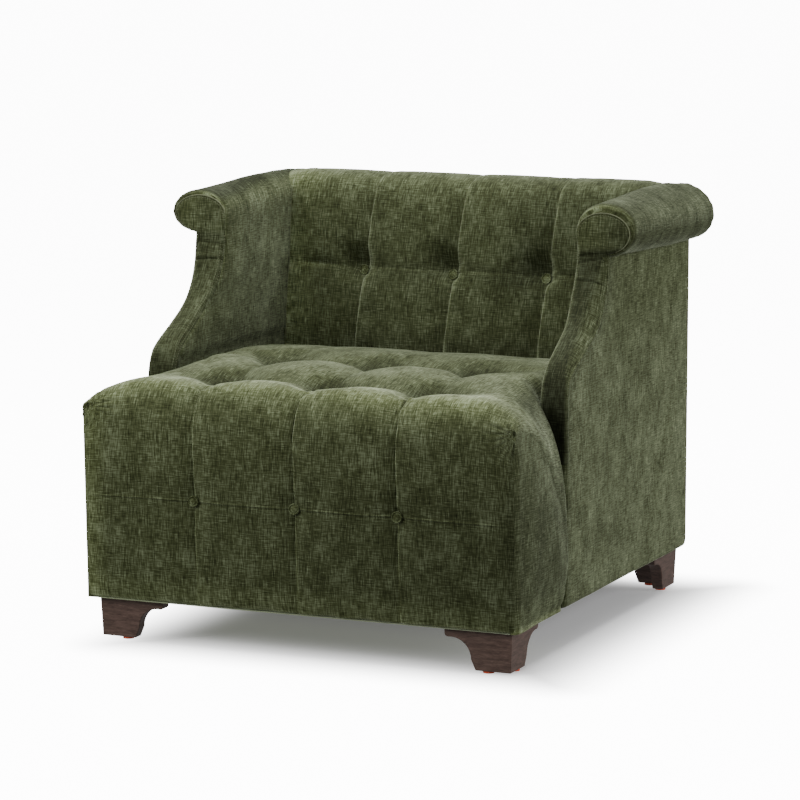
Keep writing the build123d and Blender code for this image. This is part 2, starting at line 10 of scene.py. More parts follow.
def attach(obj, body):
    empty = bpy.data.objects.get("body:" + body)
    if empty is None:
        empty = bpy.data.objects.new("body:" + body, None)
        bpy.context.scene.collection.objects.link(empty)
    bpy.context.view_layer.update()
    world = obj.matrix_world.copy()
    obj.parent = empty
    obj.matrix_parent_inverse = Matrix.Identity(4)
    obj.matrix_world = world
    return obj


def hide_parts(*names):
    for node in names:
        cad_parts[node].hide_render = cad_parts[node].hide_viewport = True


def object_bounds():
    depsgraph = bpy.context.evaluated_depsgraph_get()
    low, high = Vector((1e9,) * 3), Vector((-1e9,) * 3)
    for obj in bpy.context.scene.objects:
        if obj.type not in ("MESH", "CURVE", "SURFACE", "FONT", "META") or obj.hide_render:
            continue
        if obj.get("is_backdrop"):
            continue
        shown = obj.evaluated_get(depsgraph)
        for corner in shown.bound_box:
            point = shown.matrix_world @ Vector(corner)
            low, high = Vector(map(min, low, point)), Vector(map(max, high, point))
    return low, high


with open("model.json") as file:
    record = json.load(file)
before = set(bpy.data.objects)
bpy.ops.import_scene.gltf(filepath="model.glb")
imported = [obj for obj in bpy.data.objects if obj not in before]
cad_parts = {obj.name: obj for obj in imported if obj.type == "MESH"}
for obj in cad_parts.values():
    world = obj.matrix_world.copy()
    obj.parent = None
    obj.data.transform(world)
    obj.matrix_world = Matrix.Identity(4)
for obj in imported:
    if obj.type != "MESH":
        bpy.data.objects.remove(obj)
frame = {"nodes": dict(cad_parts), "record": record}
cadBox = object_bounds()
print("frame loaded:", len(frame["nodes"]), "nodes")

# sizes are millimetres, with y counted from the bottom front edge of the upholstery
chair = {
    "frontY": -428.0,      # where that edge lies in the shared frame
    "halfWidth": 406.0,
    "hemHeight": 75.0,
    "armInner": 351.0,     # inside face of an arm
    "rollX": 403.0,        # middle of an arm's roll
    "rollZ": 717.0,
    "rollRadius": 52.0,
}
hands = ((-1, "left"), (1, "right"))


def placed(points):
    # millimetres to metres in the shared frame
    pts = np.array(points, float)
    pts[..., 1] += chair["frontY"]
    return pts * 0.001


def smooth01(a, b, x):
    t = np.clip((x - a) / (b - a), 0, 1)
    return t * t * (3 - 2 * t)


def fade01(a, b, x):
    return 1 - smooth01(a, b, x)


def bell(x, width):
    return np.exp(-(x / width) ** 2)


def edgeDrop(gap, r):
    # how far a rounded edge has dropped at a distance from its rim
    return r - np.sqrt(np.maximum(r * r - (r - np.minimum(gap, r)) ** 2, 0))


def stations(start, end, step, spots=(), fineStep=1.5, reach=10.0):
    # evenly spread values that crowd together near the spots
    fine = np.linspace(start, end, 4000)
    density = np.full_like(fine, 1 / step)
    for spot in spots:
        at, close, wide = spot if isinstance(spot, tuple) else (spot, fineStep, reach)
        density += (1 / close - 1 / step) * bell(fine - at, wide)
    total = np.concatenate([[0], np.cumsum((density[1:] + density[:-1]) / 2 * np.diff(fine))])
    count = max(2, int(round(total[-1])))
    return np.interp(np.linspace(0, total[-1], count + 1), total, fine)


def rounded(points, rounds):
    # corner cutting, ends kept
    pts = np.array(points, float)
    for _ in range(rounds):
        a = pts[:-1] * 0.75 + pts[1:] * 0.25
        b = pts[:-1] * 0.25 + pts[1:] * 0.75
        pts = np.concatenate([pts[:1], np.stack([a, b], axis=1).reshape(-1, pts.shape[1]), pts[-1:]])
    return pts


def runLengths(points):
    # length along a path at each of its points
    return np.concatenate([[0], np.cumsum(np.linalg.norm(np.diff(points, axis=0), axis=1))])


def unitRows(vectors):
    return vectors / np.linalg.norm(vectors, axis=1)[:, None]


def sectionAt(curve, curveRun, run):
    # points of a (y, z) section at given lengths, and its outward normals there
    base = np.stack([np.interp(run, curveRun, curve[:, k]) for k in range(2)], axis=1)
    tangent = unitRows(np.gradient(base, run, axis=0))
    return base, np.stack([-tangent[:, 1], tangent[:, 0]], axis=1)


def ripple(points, amount, size, seed):
    # soft unevenness of stuffed cloth, up to about the amount either way
    shift = Vector((seed * 17.3, seed * 7.9, seed * 3.1))
    values = [noise.noise(Vector(p) / size + shift) for p in points.reshape(-1, 3)]
    return amount * np.array(values).reshape(points.shape[:-1])


def gridFaces(rows, cols, start=0):
    i, j = np.meshgrid(np.arange(rows - 1), np.arange(cols - 1), indexing="ij")
    first = (i * cols + j).reshape(-1) + start
    return np.stack([first, first + 1, first + cols + 1, first + cols], axis=1)


def addPiece(name, data):
    piece = bpy.data.objects.new(name, data)
    bpy.context.scene.collection.objects.link(piece)
    return piece


def shadeSmooth(mesh):
    mesh.polygons.foreach_set("use_smooth", [True] * len(mesh.polygons))


def skin(name, patches, napAndLight, sharp=70):
    # patches are grids of points, each with the lie of the cloth on it, in millimetres
    verts, faces, cloth = [], [], []
    start = 0
    for points, lie in patches:
        rows, cols = points.shape[:2]
        verts.append(placed(points).reshape(-1, 3))
        faces.append(gridFaces(rows, cols, start))
        cloth.append(np.array(lie, float).reshape(-1, 2) * 0.001)
        start += rows * cols
    verts, faces, cloth = [np.concatenate(grids) for grids in (verts, faces, cloth)]
    mesh = bpy.data.meshes.new(name)
    mesh.from_pydata(verts.tolist(), [], faces.tolist())
    layer = mesh.uv_layers.new(name="cloth")
    layer.data.foreach_set("uv", cloth[faces.reshape(-1)].reshape(-1).astype(np.float32))
    bm = bmesh.new()
    bm.from_mesh(mesh)
    bmesh.ops.remove_doubles(bm, verts=bm.verts[:], dist=0.00005)
    bmesh.ops.dissolve_degenerate(bm, edges=bm.edges[:], dist=0.00001)
    closing = bmesh.ops.holes_fill(bm, edges=[e for e in bm.edges if e.is_boundary], sides=0)
    bmesh.ops.triangulate(bm, faces=closing["faces"])
    bmesh.ops.recalc_face_normals(bm, faces=bm.faces[:])
    bm.to_mesh(mesh)
    bm.free()
    shadeSmooth(mesh)
    mesh.set_sharp_from_angle(angle=math.radians(sharp))
    mesh.materials.append(velvet)
    paintNapAndLight(mesh, napAndLight)
    return addPiece(name, mesh)


def paintNapAndLight(mesh, napAndLight):
    # painted light and shade, with the pile's lie: the function given tells how much lighter or darker for
    # points in millimetres and their normals
    points, normals = np.zeros((2, len(mesh.vertices) * 3), np.float32)
    mesh.vertices.foreach_get("co", points)
    mesh.vertices.foreach_get("normal", normals)
    points = points.reshape(-1, 3) * 1000 - np.array([0, chair["frontY"], 0])
    layer = mesh.attributes.new("napAndLight", "FLOAT", "POINT")
    layer.data.foreach_set("value", np.asarray(napAndLight(points, normals.reshape(-1, 3)), np.float32))


def settle(points, held, pad):
    # blow the cloth up a little with its tufts and seams held, and give back how it moved
    rows, cols = points.shape[:2]
    mesh = bpy.data.meshes.new("settling")
    start = placed(points).reshape(-1, 3)
    mesh.from_pydata(start.tolist(), [], gridFaces(rows, cols).tolist())
    piece = addPiece("settling", mesh)
    group = piece.vertex_groups.new(name="held")
    weights = held.reshape(-1)
    for index in np.nonzero(weights > 0.01)[0]:
        group.add([int(index)], float(weights[index]), "REPLACE")
    mod = piece.modifiers.new("cloth", "CLOTH")
    cloth = mod.settings
    cloth.quality = 6
    cloth.mass = 0.4
    cloth.tension_stiffness = pad["stretch"]
    cloth.compression_stiffness = pad["stretch"]
    cloth.shear_stiffness = pad["stretch"] / 2
    cloth.bending_stiffness = pad["bend"]
    cloth.vertex_group_mass = "held"
    cloth.pin_stiffness = 1.0
    cloth.use_pressure = True
    cloth.uniform_pressure_force = pad["pressure"]
    cloth.shrink_min = pad["slack"]
    cloth.effector_weights.gravity = 0
    mod.collision_settings.use_collision = False
    scene = bpy.context.scene
    mod.point_cache.frame_start = 1
    mod.point_cache.frame_end = pad["frames"]
    for number in range(1, pad["frames"] + 1):
        scene.frame_set(number)
    made = piece.evaluated_get(bpy.context.evaluated_depsgraph_get()).data
    after = np.zeros(len(made.vertices) * 3, np.float32)
    made.vertices.foreach_get("co", after)
    moved = (after.reshape(-1, 3) - start) * 1000
    bpy.data.objects.remove(piece)
    bpy.data.meshes.remove(mesh)
    scene.frame_set(1)
    far = np.linalg.norm(moved, axis=1)[:, None]
    print("  cloth moved up to", round(float(far.max()), 1), "mm, cap", pad["cap"])
    moved *= np.minimum(1, pad["cap"] / np.maximum(far, 1e-6))
    return moved.reshape(rows, cols, 3)


def spreadMove(moved, rowAt, colAt, rows, cols):
    # carry a move from a coarse grid on to a finer one
    out = np.zeros((len(rows), len(cols), 3))
    for k in range(3):
        across = np.stack([np.interp(cols, colAt, line) for line in moved[:, :, k]])
        out[:, :, k] = np.stack([np.interp(rows, rowAt, line) for line in across.T], axis=1)
    return out


# materials

def newMaterial(name):
    mat = bpy.data.materials.new(name)
    mat.use_nodes = True
    return mat, mat.node_tree, mat.node_tree.nodes["Principled BSDF"]


def setInputs(node, values):
    for socket, value in values.items():
        node.inputs[socket].default_value = value


def rampNode(tree, source, stops):
    node = tree.nodes.new("ShaderNodeValToRGB")
    elements = node.color_ramp.elements
    while len(elements) < len(stops):
        elements.new(1.0)
    for element, (at, colour) in zip(elements, stops):
        element.position = at
        element.color = (*colour, 1)
    tree.links.new(source, node.inputs["Fac"])
    return node.outputs["Color"]


def noiseNode(tree, source, scale, detail, rough):
    # scale is per metre along x, y and z
    mapping = tree.nodes.new("ShaderNodeMapping")
    mapping.inputs["Scale"].default_value = scale
    tree.links.new(source, mapping.inputs["Vector"])
    tex = tree.nodes.new("ShaderNodeTexNoise")
    setInputs(tex, {"Scale": 1.0, "Detail": detail, "Roughness": rough})
    tree.links.new(mapping.outputs["Vector"], tex.inputs["Vector"])
    return tex.outputs["Fac"]


def mathNode(tree, kind, *values):
    node = tree.nodes.new("ShaderNodeMath")
    node.operation = kind
    for socket, value in zip(node.inputs, values):
        if isinstance(value, (int, float)):
            socket.default_value = value
        else:
            tree.links.new(value, socket)
    return node.outputs[0]


def addBump(tree, shader, height, strength, distance):
    bump = tree.nodes.new("ShaderNodeBump")
    setInputs(bump, {"Strength": strength, "Distance": distance})
    tree.links.new(height, bump.inputs["Height"])
    tree.links.new(bump.outputs["Normal"], shader.inputs["Normal"])


velvetLook = {
    "shadowGreen": (0.0110, 0.0135, 0.0034),
    "bodyGreen": (0.0475, 0.0560, 0.0218),
    "litGreen": (0.1640, 0.1920, 0.1110),
    "toneStops": (0.40, 0.50, 0.62),
    "weave": (               # per metre across and along the cloth, and how much it counts
        (760.0, 52.7, 0.29),     # threads one way
        (62.0, 760.0, 0.24),     # and the other
        (400.0, 28.8, 0.19),     # slubs
        (32.0, 400.0, 0.14),
        (24.0, 14.4, 0.14),      # clouds
    ),
    "pile": (8.5, -3.2),     # how the sheen follows the weave: gain and offset
    "pileLeast": 0.05,
    "sheen": 0.36,
    "sheenRough": 0.36,
    "sheenTint": (0.78, 0.86, 0.62),
    "rough": 0.88,
    "shine": 0.12,
    "bump": 0.0009,
}


def makeVelvet(name, brushedAndShaded=True, lift=1.0):
    # brushed velvet follows a piece's own cloth map and a per-point attribute of painted light and shade with
    # the pile's lie; the other kind lies on object coordinates
    mat, tree, shader = newMaterial(name)
    lie = tree.nodes.new("ShaderNodeTexCoord").outputs["UV" if brushedAndShaded else "Object"]
    weave = None
    for across, along, share in velvetLook["weave"]:
        streak = mathNode(tree, "MULTIPLY", noiseNode(tree, lie, (across, along, across), 2.0, 0.55), share)
        weave = streak if weave is None else mathNode(tree, "ADD", weave, streak)
    greens = [velvetLook[tone] for tone in ("shadowGreen", "bodyGreen", "litGreen")]
    tones = [[lift * part for part in green] for green in greens]
    colour = rampNode(tree, weave, list(zip(velvetLook["toneStops"], tones)))
    # raised threads catch more of the sheen than the ones between them
    pile = mathNode(tree, "MULTIPLY_ADD", weave, *velvetLook["pile"])
    pile = mathNode(tree, "MAXIMUM", pile, velvetLook["pileLeast"])
    pile = mathNode(tree, "MULTIPLY", pile, velvetLook["sheen"])
    # the per-point attribute scales colour and sheen: painted light and shade together with the pile's lie
    if brushedAndShaded:
        napAndLight = tree.nodes.new("ShaderNodeAttribute")
        napAndLight.attribute_name = "napAndLight"
        napShaded = tree.nodes.new("ShaderNodeVectorMath")
        napShaded.operation = "SCALE"
        tree.links.new(colour, napShaded.inputs[0])
        tree.links.new(napAndLight.outputs["Fac"], napShaded.inputs["Scale"])
        colour = napShaded.outputs[0]
        pile = mathNode(tree, "MULTIPLY", pile, napAndLight.outputs["Fac"])
    tree.links.new(colour, shader.inputs["Base Color"])
    tree.links.new(pile, shader.inputs["Sheen Weight"])
    setInputs(shader, {
        "Roughness": velvetLook["rough"],
        "Specular IOR Level": velvetLook["shine"],
        "Sheen Roughness": velvetLook["sheenRough"],
        "Sheen Tint": (*velvetLook["sheenTint"], 1),
    })
    addBump(tree, shader, weave, 0.8, velvetLook["bump"])
    return mat


woodLook = {
    "dark": (0.053, 0.0320, 0.0245),
    "mid": (0.114, 0.0715, 0.0555),
    "pale": (0.180, 0.118, 0.094),
    "rough": 0.42,
}
bareWood = {
    "dark": (0.30, 0.20, 0.11),
    "mid": (0.42, 0.30, 0.18),
    "pale": (0.52, 0.39, 0.25),
    "rough": 0.6,
}


def makeWood(name, look, grain):
    # grain is how fast the figure changes along x, y and z, per metre
    mat, tree, shader = newMaterial(name)
    coords = tree.nodes.new("ShaderNodeTexCoord").outputs["Object"]
    figure = noiseNode(tree, coords, grain, 5.0, 0.6)
    pores = noiseNode(tree, coords, tuple(g * 5 for g in grain), 2.0, 0.5)
    tone = mathNode(tree, "MULTIPLY_ADD", pores, 0.35, mathNode(tree, "MULTIPLY", figure, 0.65))
    colour = rampNode(tree, tone, ((0.33, look["dark"]), (0.52, look["mid"]), (0.72, look["pale"])))
    tree.links.new(colour, shader.inputs["Base Color"])
    setInputs(shader, {"Roughness": look["rough"], "Specular IOR Level": 0.4})
    addBump(tree, shader, pores, 0.25, 0.0005)
    return mat


def makeSpeckled(name, low, high, specks, rough, metal=0.0, bumpDepth=0.0003):
    # specks is how many there are to a metre along x, y and z
    mat, tree, shader = newMaterial(name)
    coords = tree.nodes.new("ShaderNodeTexCoord").outputs["Object"]
    speck = noiseNode(tree, coords, specks, 4.0, 0.6)
    tree.links.new(rampNode(tree, speck, ((0.35, low), (0.65, high))), shader.inputs["Base Color"])
    setInputs(shader, {"Roughness": rough, "Metallic": metal})
    addBump(tree, shader, speck, 0.4, bumpDepth)
    return mat


velvet = makeVelvet("olive velvet")
buttonVelvet = makeVelvet("button velvet", brushedAndShaded=False, lift=1.5)
threadCloth = makeSpeckled("olive thread", (0.10, 0.11, 0.055), (0.19, 0.21, 0.115), (900,) * 3, 0.7)
bySlot = {
    "velvet": velvet,
    "dark_wood": makeWood("espresso wood", woodLook, (40, 40, 260)),
    "frame_wood": makeWood("rail wood", bareWood, (12, 160, 160)),
    "plywood": makeWood("birch plywood", bareWood, (220, 10, 60)),
    "glide_plastic": makeSpeckled("red glide", (0.62, 0.075, 0.022), (0.72, 0.10, 0.03), (500,) * 3, 0.45),
    "steel": makeSpeckled("zinc screw", (0.35, 0.35, 0.36), (0.55, 0.55, 0.56), (800, 800, 120), 0.35, 1.0),
    "webbing": makeSpeckled("black webbing", (0.012, 0.012, 0.014), (0.05, 0.05, 0.055), (450,) * 3, 0.85),
    "lining_cloth": makeSpeckled("black lining", (0.01, 0.01, 0.01), (0.035, 0.035, 0.035), (380,) * 3, 0.9),
    "foam": makeSpeckled("pale foam", (0.62, 0.57, 0.40), (0.80, 0.76, 0.60), (420,) * 3, 0.95, 0.0, 0.0008),
}
for part in frame["record"]["subparts"]:
    node = frame["nodes"][part["node"]]
    node.data.materials.clear()
    node.data.materials.append(bySlot[part["material_slot"]])
print("materials made:", len(bpy.data.materials))

# seat block

seat = {
    "path": (                # section through the middle, from under the front over the top to the back
        (40, 76.5), (14, 74), (3, 75.5), (-1, 85), (-4, 130), (-6.5, 200), (-6, 261), (-7, 320), (-6, 372),
        (-1, 410), (12, 441), (34, 461), (64, 469), (110, 471), (180, 474), (260, 476), (360, 476),
        (460, 470), (560, 460), (620, 450), (668, 436),
    ),
    "columns": (-192.0, 0.0, 192.0),
    "hemLine": 82.0,         # heights on the front
    "buttonLine": 261.0,
    "shoulder": 385.0,
    "pinch": 436.0,
    "crest": 60.0,           # depths on the top
    "rowOne": 132.0,
    "rowTwo": 356.0,
    # at the hem, buttons, shoulder, crest, both rows, behind them and the end:
    "pleatShift": (0, -6, -11, -10, -3, 0, 0, 0),
    "valley": (2.5, 9.5, 10.5, 13.0, 20.0, 17.0, 3.5, 2.0),
    "pleatSharp": (0.2, 0.8, 1.0, 1.0, 0.5, 0.3, 0.1, 0.0),
    "pleat": 3.4,
    "rowValley": 19.0,
    "pit": 26.0,             # wide hollow round a tuft, and its narrow bottom
    "pitBottom": 13.0,
    "frontDimple": 3.0,
    "shoulderFrom": 296.0,   # where the sides start to roll down
    "cornerHeight": 419.0,   # the pulled corners
    "cornerPull": 11.0,
    "cornerRound": {-1: 2.0, 1: 16.0},   # the left one is drawn tight
    "leftWide": 3.5,         # and stands out a little
    "betweenArms": 350.5,    # half the width behind the arms' fronts
    # depths, and how far the side has rolled down there at its outermost line
    "sideFall": (
        (-20, 10, 60, 110, 150, 190, 233, 262, 300, 700),
        (57, 57, 60, 84, 126, 184, 246, 190, 72, 60),
    ),
    # heights, and how deep the side reaches back there before it turns in behind the arm
    "sideReach": ((75, 93, 159, 212, 268, 480), (222, 228, 250, 249, 233, 233)),
    "sideSwell": 7.0,
    "hemTuck": 5.0,
    "turnedHem": (74.6, 9.0),            # height and width of the cloth turned under at the sides
    "besideSeam": (0.002, 0.005, 0.009, 0.014, 0.019, 0.025, 0.032),   # finer steps, shares of a side's depth
    "outerFall": 6.0,        # the outer cells lie lower by this
    "meshStep": 7.5,
    # amount, size and seed
    "ripples": {"up": (0.9, 70.0, 2), "out": (0.8, 60.0, 3), "side": (0.8, 55.0, 5)},
    "gathers": {"folds": 23, "up": 1.7, "out": 1.4, "tuck": 6.0, "seam": 0.8, "side": 0.7},
    "pad": {"pressure": 3.0, "stretch": 9.0, "bend": 0.8, "slack": -0.03, "cap": 7.0, "frames": 18},
    # painted light and shade on the seat's cloth, along with the pile's lie
    "napAndLight": {
        "front": 1.21, "rightShade": 0.26, "lipHighlight": 0.7, "leftEdgeLight": 1.0, "hem": 0.45, "upperLight": 0.17,
        "rightEdgeShade": 0.10, "turned": 1.5, "top": 0.54, "crown": 0.66, "crest": 0.78, "rear": 0.21,
    },
}
seatCurve = rounded(seat["path"], 5)
seatRun = runLengths(seatCurve)


def seatRunAt(y=None, z=None):
    # length along the section where it passes a height on the front or a depth on the top
    if z is not None:
        rising = (seatCurve[:, 0] < 60) & (seatCurve[:, 1] > 80)
        return float(np.interp(z, seatCurve[rising, 1], seatRun[rising]))
    top = seatCurve[:, 1] > 455
    return float(np.interp(y, seatCurve[top, 0], seatRun[top]))


runHem, runButton, runShoulder, runPinch = [
    seatRunAt(z=seat[line]) for line in ("hemLine", "buttonLine", "shoulder", "pinch")
]
runCrest, runOne, runTwo = [seatRunAt(y=seat[line]) for line in ("crest", "rowOne", "rowTwo")]
runEnd = float(seatRun[-1])
seatMarks = (runHem, runButton, runShoulder, runCrest, runOne, runTwo, runTwo + 95, runEnd)


def seatRelief(x, run, crisp):
    # how far the cloth stands off the smooth block, rows along the section and columns across
    x, run = np.meshgrid(x, run)
    shift = np.interp(run, seatMarks, seat["pleatShift"])
    valley = np.interp(run, seatMarks, seat["valley"])
    onTop = smooth01(runShoulder, runOne, run)
    near = np.zeros_like(x)
    crease = np.zeros_like(x)
    for column in seat["columns"]:
        d = x - column - shift
        right = np.clip(d, 0, None)
        pillow = np.exp(-(np.abs(d) / np.where(d < 0, 52.0, 46.0)) ** 1.3)
        # on the front each cell laps over its left neighbour with a rolled edge
        rolled = 0.42 * np.exp(-right / 42.0) + 0.58 * np.exp(-right / 5.0)
        lapped = np.where(d < 0, np.exp(d / 38.0), rolled)
        near = np.maximum(near, lapped * (1 - onTop) + pillow * onTop)
        crease += -0.6 * np.exp(-np.abs(d) / 1.2) + 0.6 * bell(d - 3.8, 2.6)
    rowValley = np.exp(-(np.abs(run - runOne) / 46) ** 1.25) + np.exp(-(np.abs(run - runTwo) / 50) ** 1.25)
    rowDeep = seat["rowValley"] * (1 - 0.85 * smooth01(205, 330, np.abs(x)))
    relief = -(valley * near + rowDeep * rowValley - np.minimum(valley, rowDeep) * near * rowValley)
    for column in seat["columns"]:
        for row in (runOne, runTwo):
            away = np.hypot(x - column, run - row)
            relief -= seat["pit"] * bell(away, 37.0) + seat["pitBottom"] * np.exp(-away / 11.0)
        relief -= seat["frontDimple"] * bell(np.hypot(x - column, run - runButton), 20.0)
    if crisp:
        relief += np.interp(run, seatMarks, seat["pleatSharp"]) * seat["pleat"] * crease
        # one thin fold joins the buttons and fades out at the sides
        fold = run - runButton
        edge = sideShare(x)
        relief += np.exp(-(edge * 1.1) ** 4) * (1.2 * bell(fold, 1.3) - 0.9 * bell(fold + 3.0, 2.2))
    return relief


def sideShare(x):
    # 0 where the sides start to roll down, 1 at the very side
    reach = chair["halfWidth"] - seat["shoulderFrom"]
    return np.clip((np.abs(x) - seat["shoulderFrom"]) / reach, 0, 1)


def halfAt(y, z):
    # full width before the arms, then in between them
    turned = smooth01(-13, 55, y - np.interp(z, *seat["sideReach"]))
    return chair["halfWidth"] - (chair["halfWidth"] - seat["betweenArms"]) * turned


def seatEdge(base, run):
    # the section at the very side: upright to a pulled corner, then back along the rolled edge
    hem, corner, pull = chair["hemHeight"], seat["cornerHeight"], seat["cornerPull"]
    joined = 70.0   # depth where it has met the rolled edge
    pinchY, pinch = [np.interp(runPinch, seatRun, seatCurve[:, k]) for k in range(2)]
    fallen = base[:, 1] - np.interp(base[:, 0], *seat["sideFall"])
    rise = np.clip((base[:, 1] - hem) / (pinch - hem), 0, 1)
    frontZ = base[:, 1] - (pinch - corner) * rise ** 3
    frontY = np.where(base[:, 1] < 90, base[:, 0], 0) - pull * rise
    along = np.clip((base[:, 0] - pinchY) / (joined - pinchY), 0, 1)
    beyond = base[:, 0] > joined
    topY = np.where(beyond, base[:, 0], -pull + (joined + pull) * along)
    topZ = np.where(beyond, fallen, corner + (fallen - corner) * smooth01(0.3, 1.0, along))
    onFront = run <= runPinch
    return np.stack([np.where(onFront, frontY, topY), np.where(onFront, frontZ, topZ)], axis=1)


def seatSurface(x, run, crisp=True):
    base, normal = sectionAt(seatCurve, seatRun, run)
    relief = seatRelief(x, run, crisp)
    edge = sideShare(x)[None, :]
    fallen = 1 - np.sqrt(1 - edge ** 2)
    side = seatEdge(base, run)
    y = (base[:, :1] + normal[:, :1] * relief) * (1 - fallen) + side[:, :1] * fallen
    z = (base[:, 1:] + normal[:, 1:] * relief) * (1 - fallen) + side[:, 1:] * fallen
    wide = np.where(run > runPinch, halfAt(side[:, 0], side[:, 1]), chair["halfWidth"])[:, None]
    out = np.minimum(np.abs(x), seat["shoulderFrom"])[None, :] + edge * (wide - seat["shoulderFrom"])
    # the upright corners are softly rounded below the pulled points
    r = np.where(x < 0, seat["cornerRound"][-1], seat["cornerRound"][1])[None, :]
    r = r * fade01(runPinch - 60, runPinch - 12, run)[:, None]
    into = out - chair["halfWidth"] + r
    turn = np.radians(45) * np.clip(into / np.maximum(r, 1e-6), 0, 1) * (run < runPinch)[:, None]
    out = out - np.where(turn > 0, np.maximum(into, 0) - r * np.sin(turn), 0)
    y = y + r * (1 - np.cos(turn))
    out = out + seat["leftWide"] * edge * (x < 0)[None, :] * fade01(60, 200, y)
    # the outer cells fall away a little towards the arms
    fall = smooth01(215, 300, np.abs(x))[None, :] * smooth01(20, 110, y) * fade01(200, 330, y)
    z = z - seat["outerFall"] * fall
    return np.stack([out * np.sign(x)[None, :], y, z], axis=-1)


def seatColumns(step, fine, turns):
    shoulder = seat["shoulderFrom"]
    inner = stations(-shoulder, shoulder, step, [c - 6 for c in seat["columns"]], fine, 9)
    side = shoulder + (chair["halfWidth"] - shoulder) * np.sin(np.linspace(0, math.pi / 2, turns + 1)[1:])
    return np.concatenate([-side[::-1], inner, side])


def settledSeat(x, run):
    # settle a coarse copy, then carry its move on to the fine one
    coarseX = seatColumns(11, 11, 7)
    coarseRun = np.linspace(0, runEnd, 92)
    coarse = seatSurface(coarseX, coarseRun, crisp=False)
    held = np.zeros(coarse.shape[:2])
    held[:3], held[-2:], held[:, :2], held[:, -2:] = 1, 1, 1, 1
    gridX, gridRun = np.meshgrid(coarseX, coarseRun)
    for column in seat["columns"]:
        for row in (runButton, runOne, runTwo):
            held = np.maximum(held, bell(np.hypot(gridX - column, gridRun - row), 17.0))
        held = np.maximum(held, 0.5 * bell(gridX - column, 9.0) * (gridRun < runOne))
    # the front is stuffed flat, and the outer cells less than the middle ones
    stuffed = 0.35 + 0.5 * smooth01(runShoulder, runOne, gridRun)
    stuffed *= 1 - 0.7 * smooth01(215, 300, np.abs(gridX))
    move = settle(coarse, held, seat["pad"]) * stuffed[..., None]
    return seatSurface(x, run) + spreadMove(move, coarseRun, coarseX, run, x)


def gatherCorner(top, side):
    # little gathers fan out from a pulled corner
    corner = np.array([side * (chair["halfWidth"] - 1), 1 - seat["cornerPull"], seat["cornerHeight"] - 1])
    away = top - corner
    far = np.linalg.norm(away, axis=-1)
    gathers = seat["gathers"]
    fan = gathers["folds"] * np.arctan2(away[..., 2], away[..., 0] * side)
    drawn = bell(far - 24, 26)
    top[..., 2] += gathers["up"] * np.cos(fan) * drawn
    top[..., 1] += gathers["out"] * np.cos(fan + 1) * drawn
    tuck = bell(away[..., 0] * side + 2, 3.2) * bell(away[..., 2] + 2, 6.0) * (far < 30)
    top[..., 1] += gathers["tuck"] * tuck
    # and short gathers lie beside the seam below it
    inner = chair["halfWidth"] - np.abs(top[..., 0])
    beside = np.exp(-np.clip(inner, 0, None) / 11.0) * (inner > 1.0) * (top[..., 0] * side > 0)
    beside *= smooth01(300, 350, top[..., 2]) * fade01(405, 417, top[..., 2]) * (top[..., 1] < 30)
    top[..., 1] -= gathers["seam"] * beside * np.sin(top[..., 2] / 3.6 + side)


def seatCloth(top, x, run):
    # the cloth is measured across the block, and along the surface over its shoulders
    clothX, clothRun = np.meshgrid(x, run)
    steps = np.linalg.norm(np.diff(top, axis=1), axis=-1)
    reached = np.concatenate([np.zeros((len(run), 1)), np.cumsum(steps, axis=1)], axis=1)
    leftAt = np.searchsorted(x, -seat["shoulderFrom"])
    rightAt = np.searchsorted(x, seat["shoulderFrom"]) - 1
    for side, at in ((-1, leftAt), (1, rightAt)):
        beyond = side * (reached - reached[:, at:at + 1])
        clothX = np.where(beyond > 0, x[at] + side * beyond, clothX)
    return np.stack([clothX, clothRun], axis=-1)


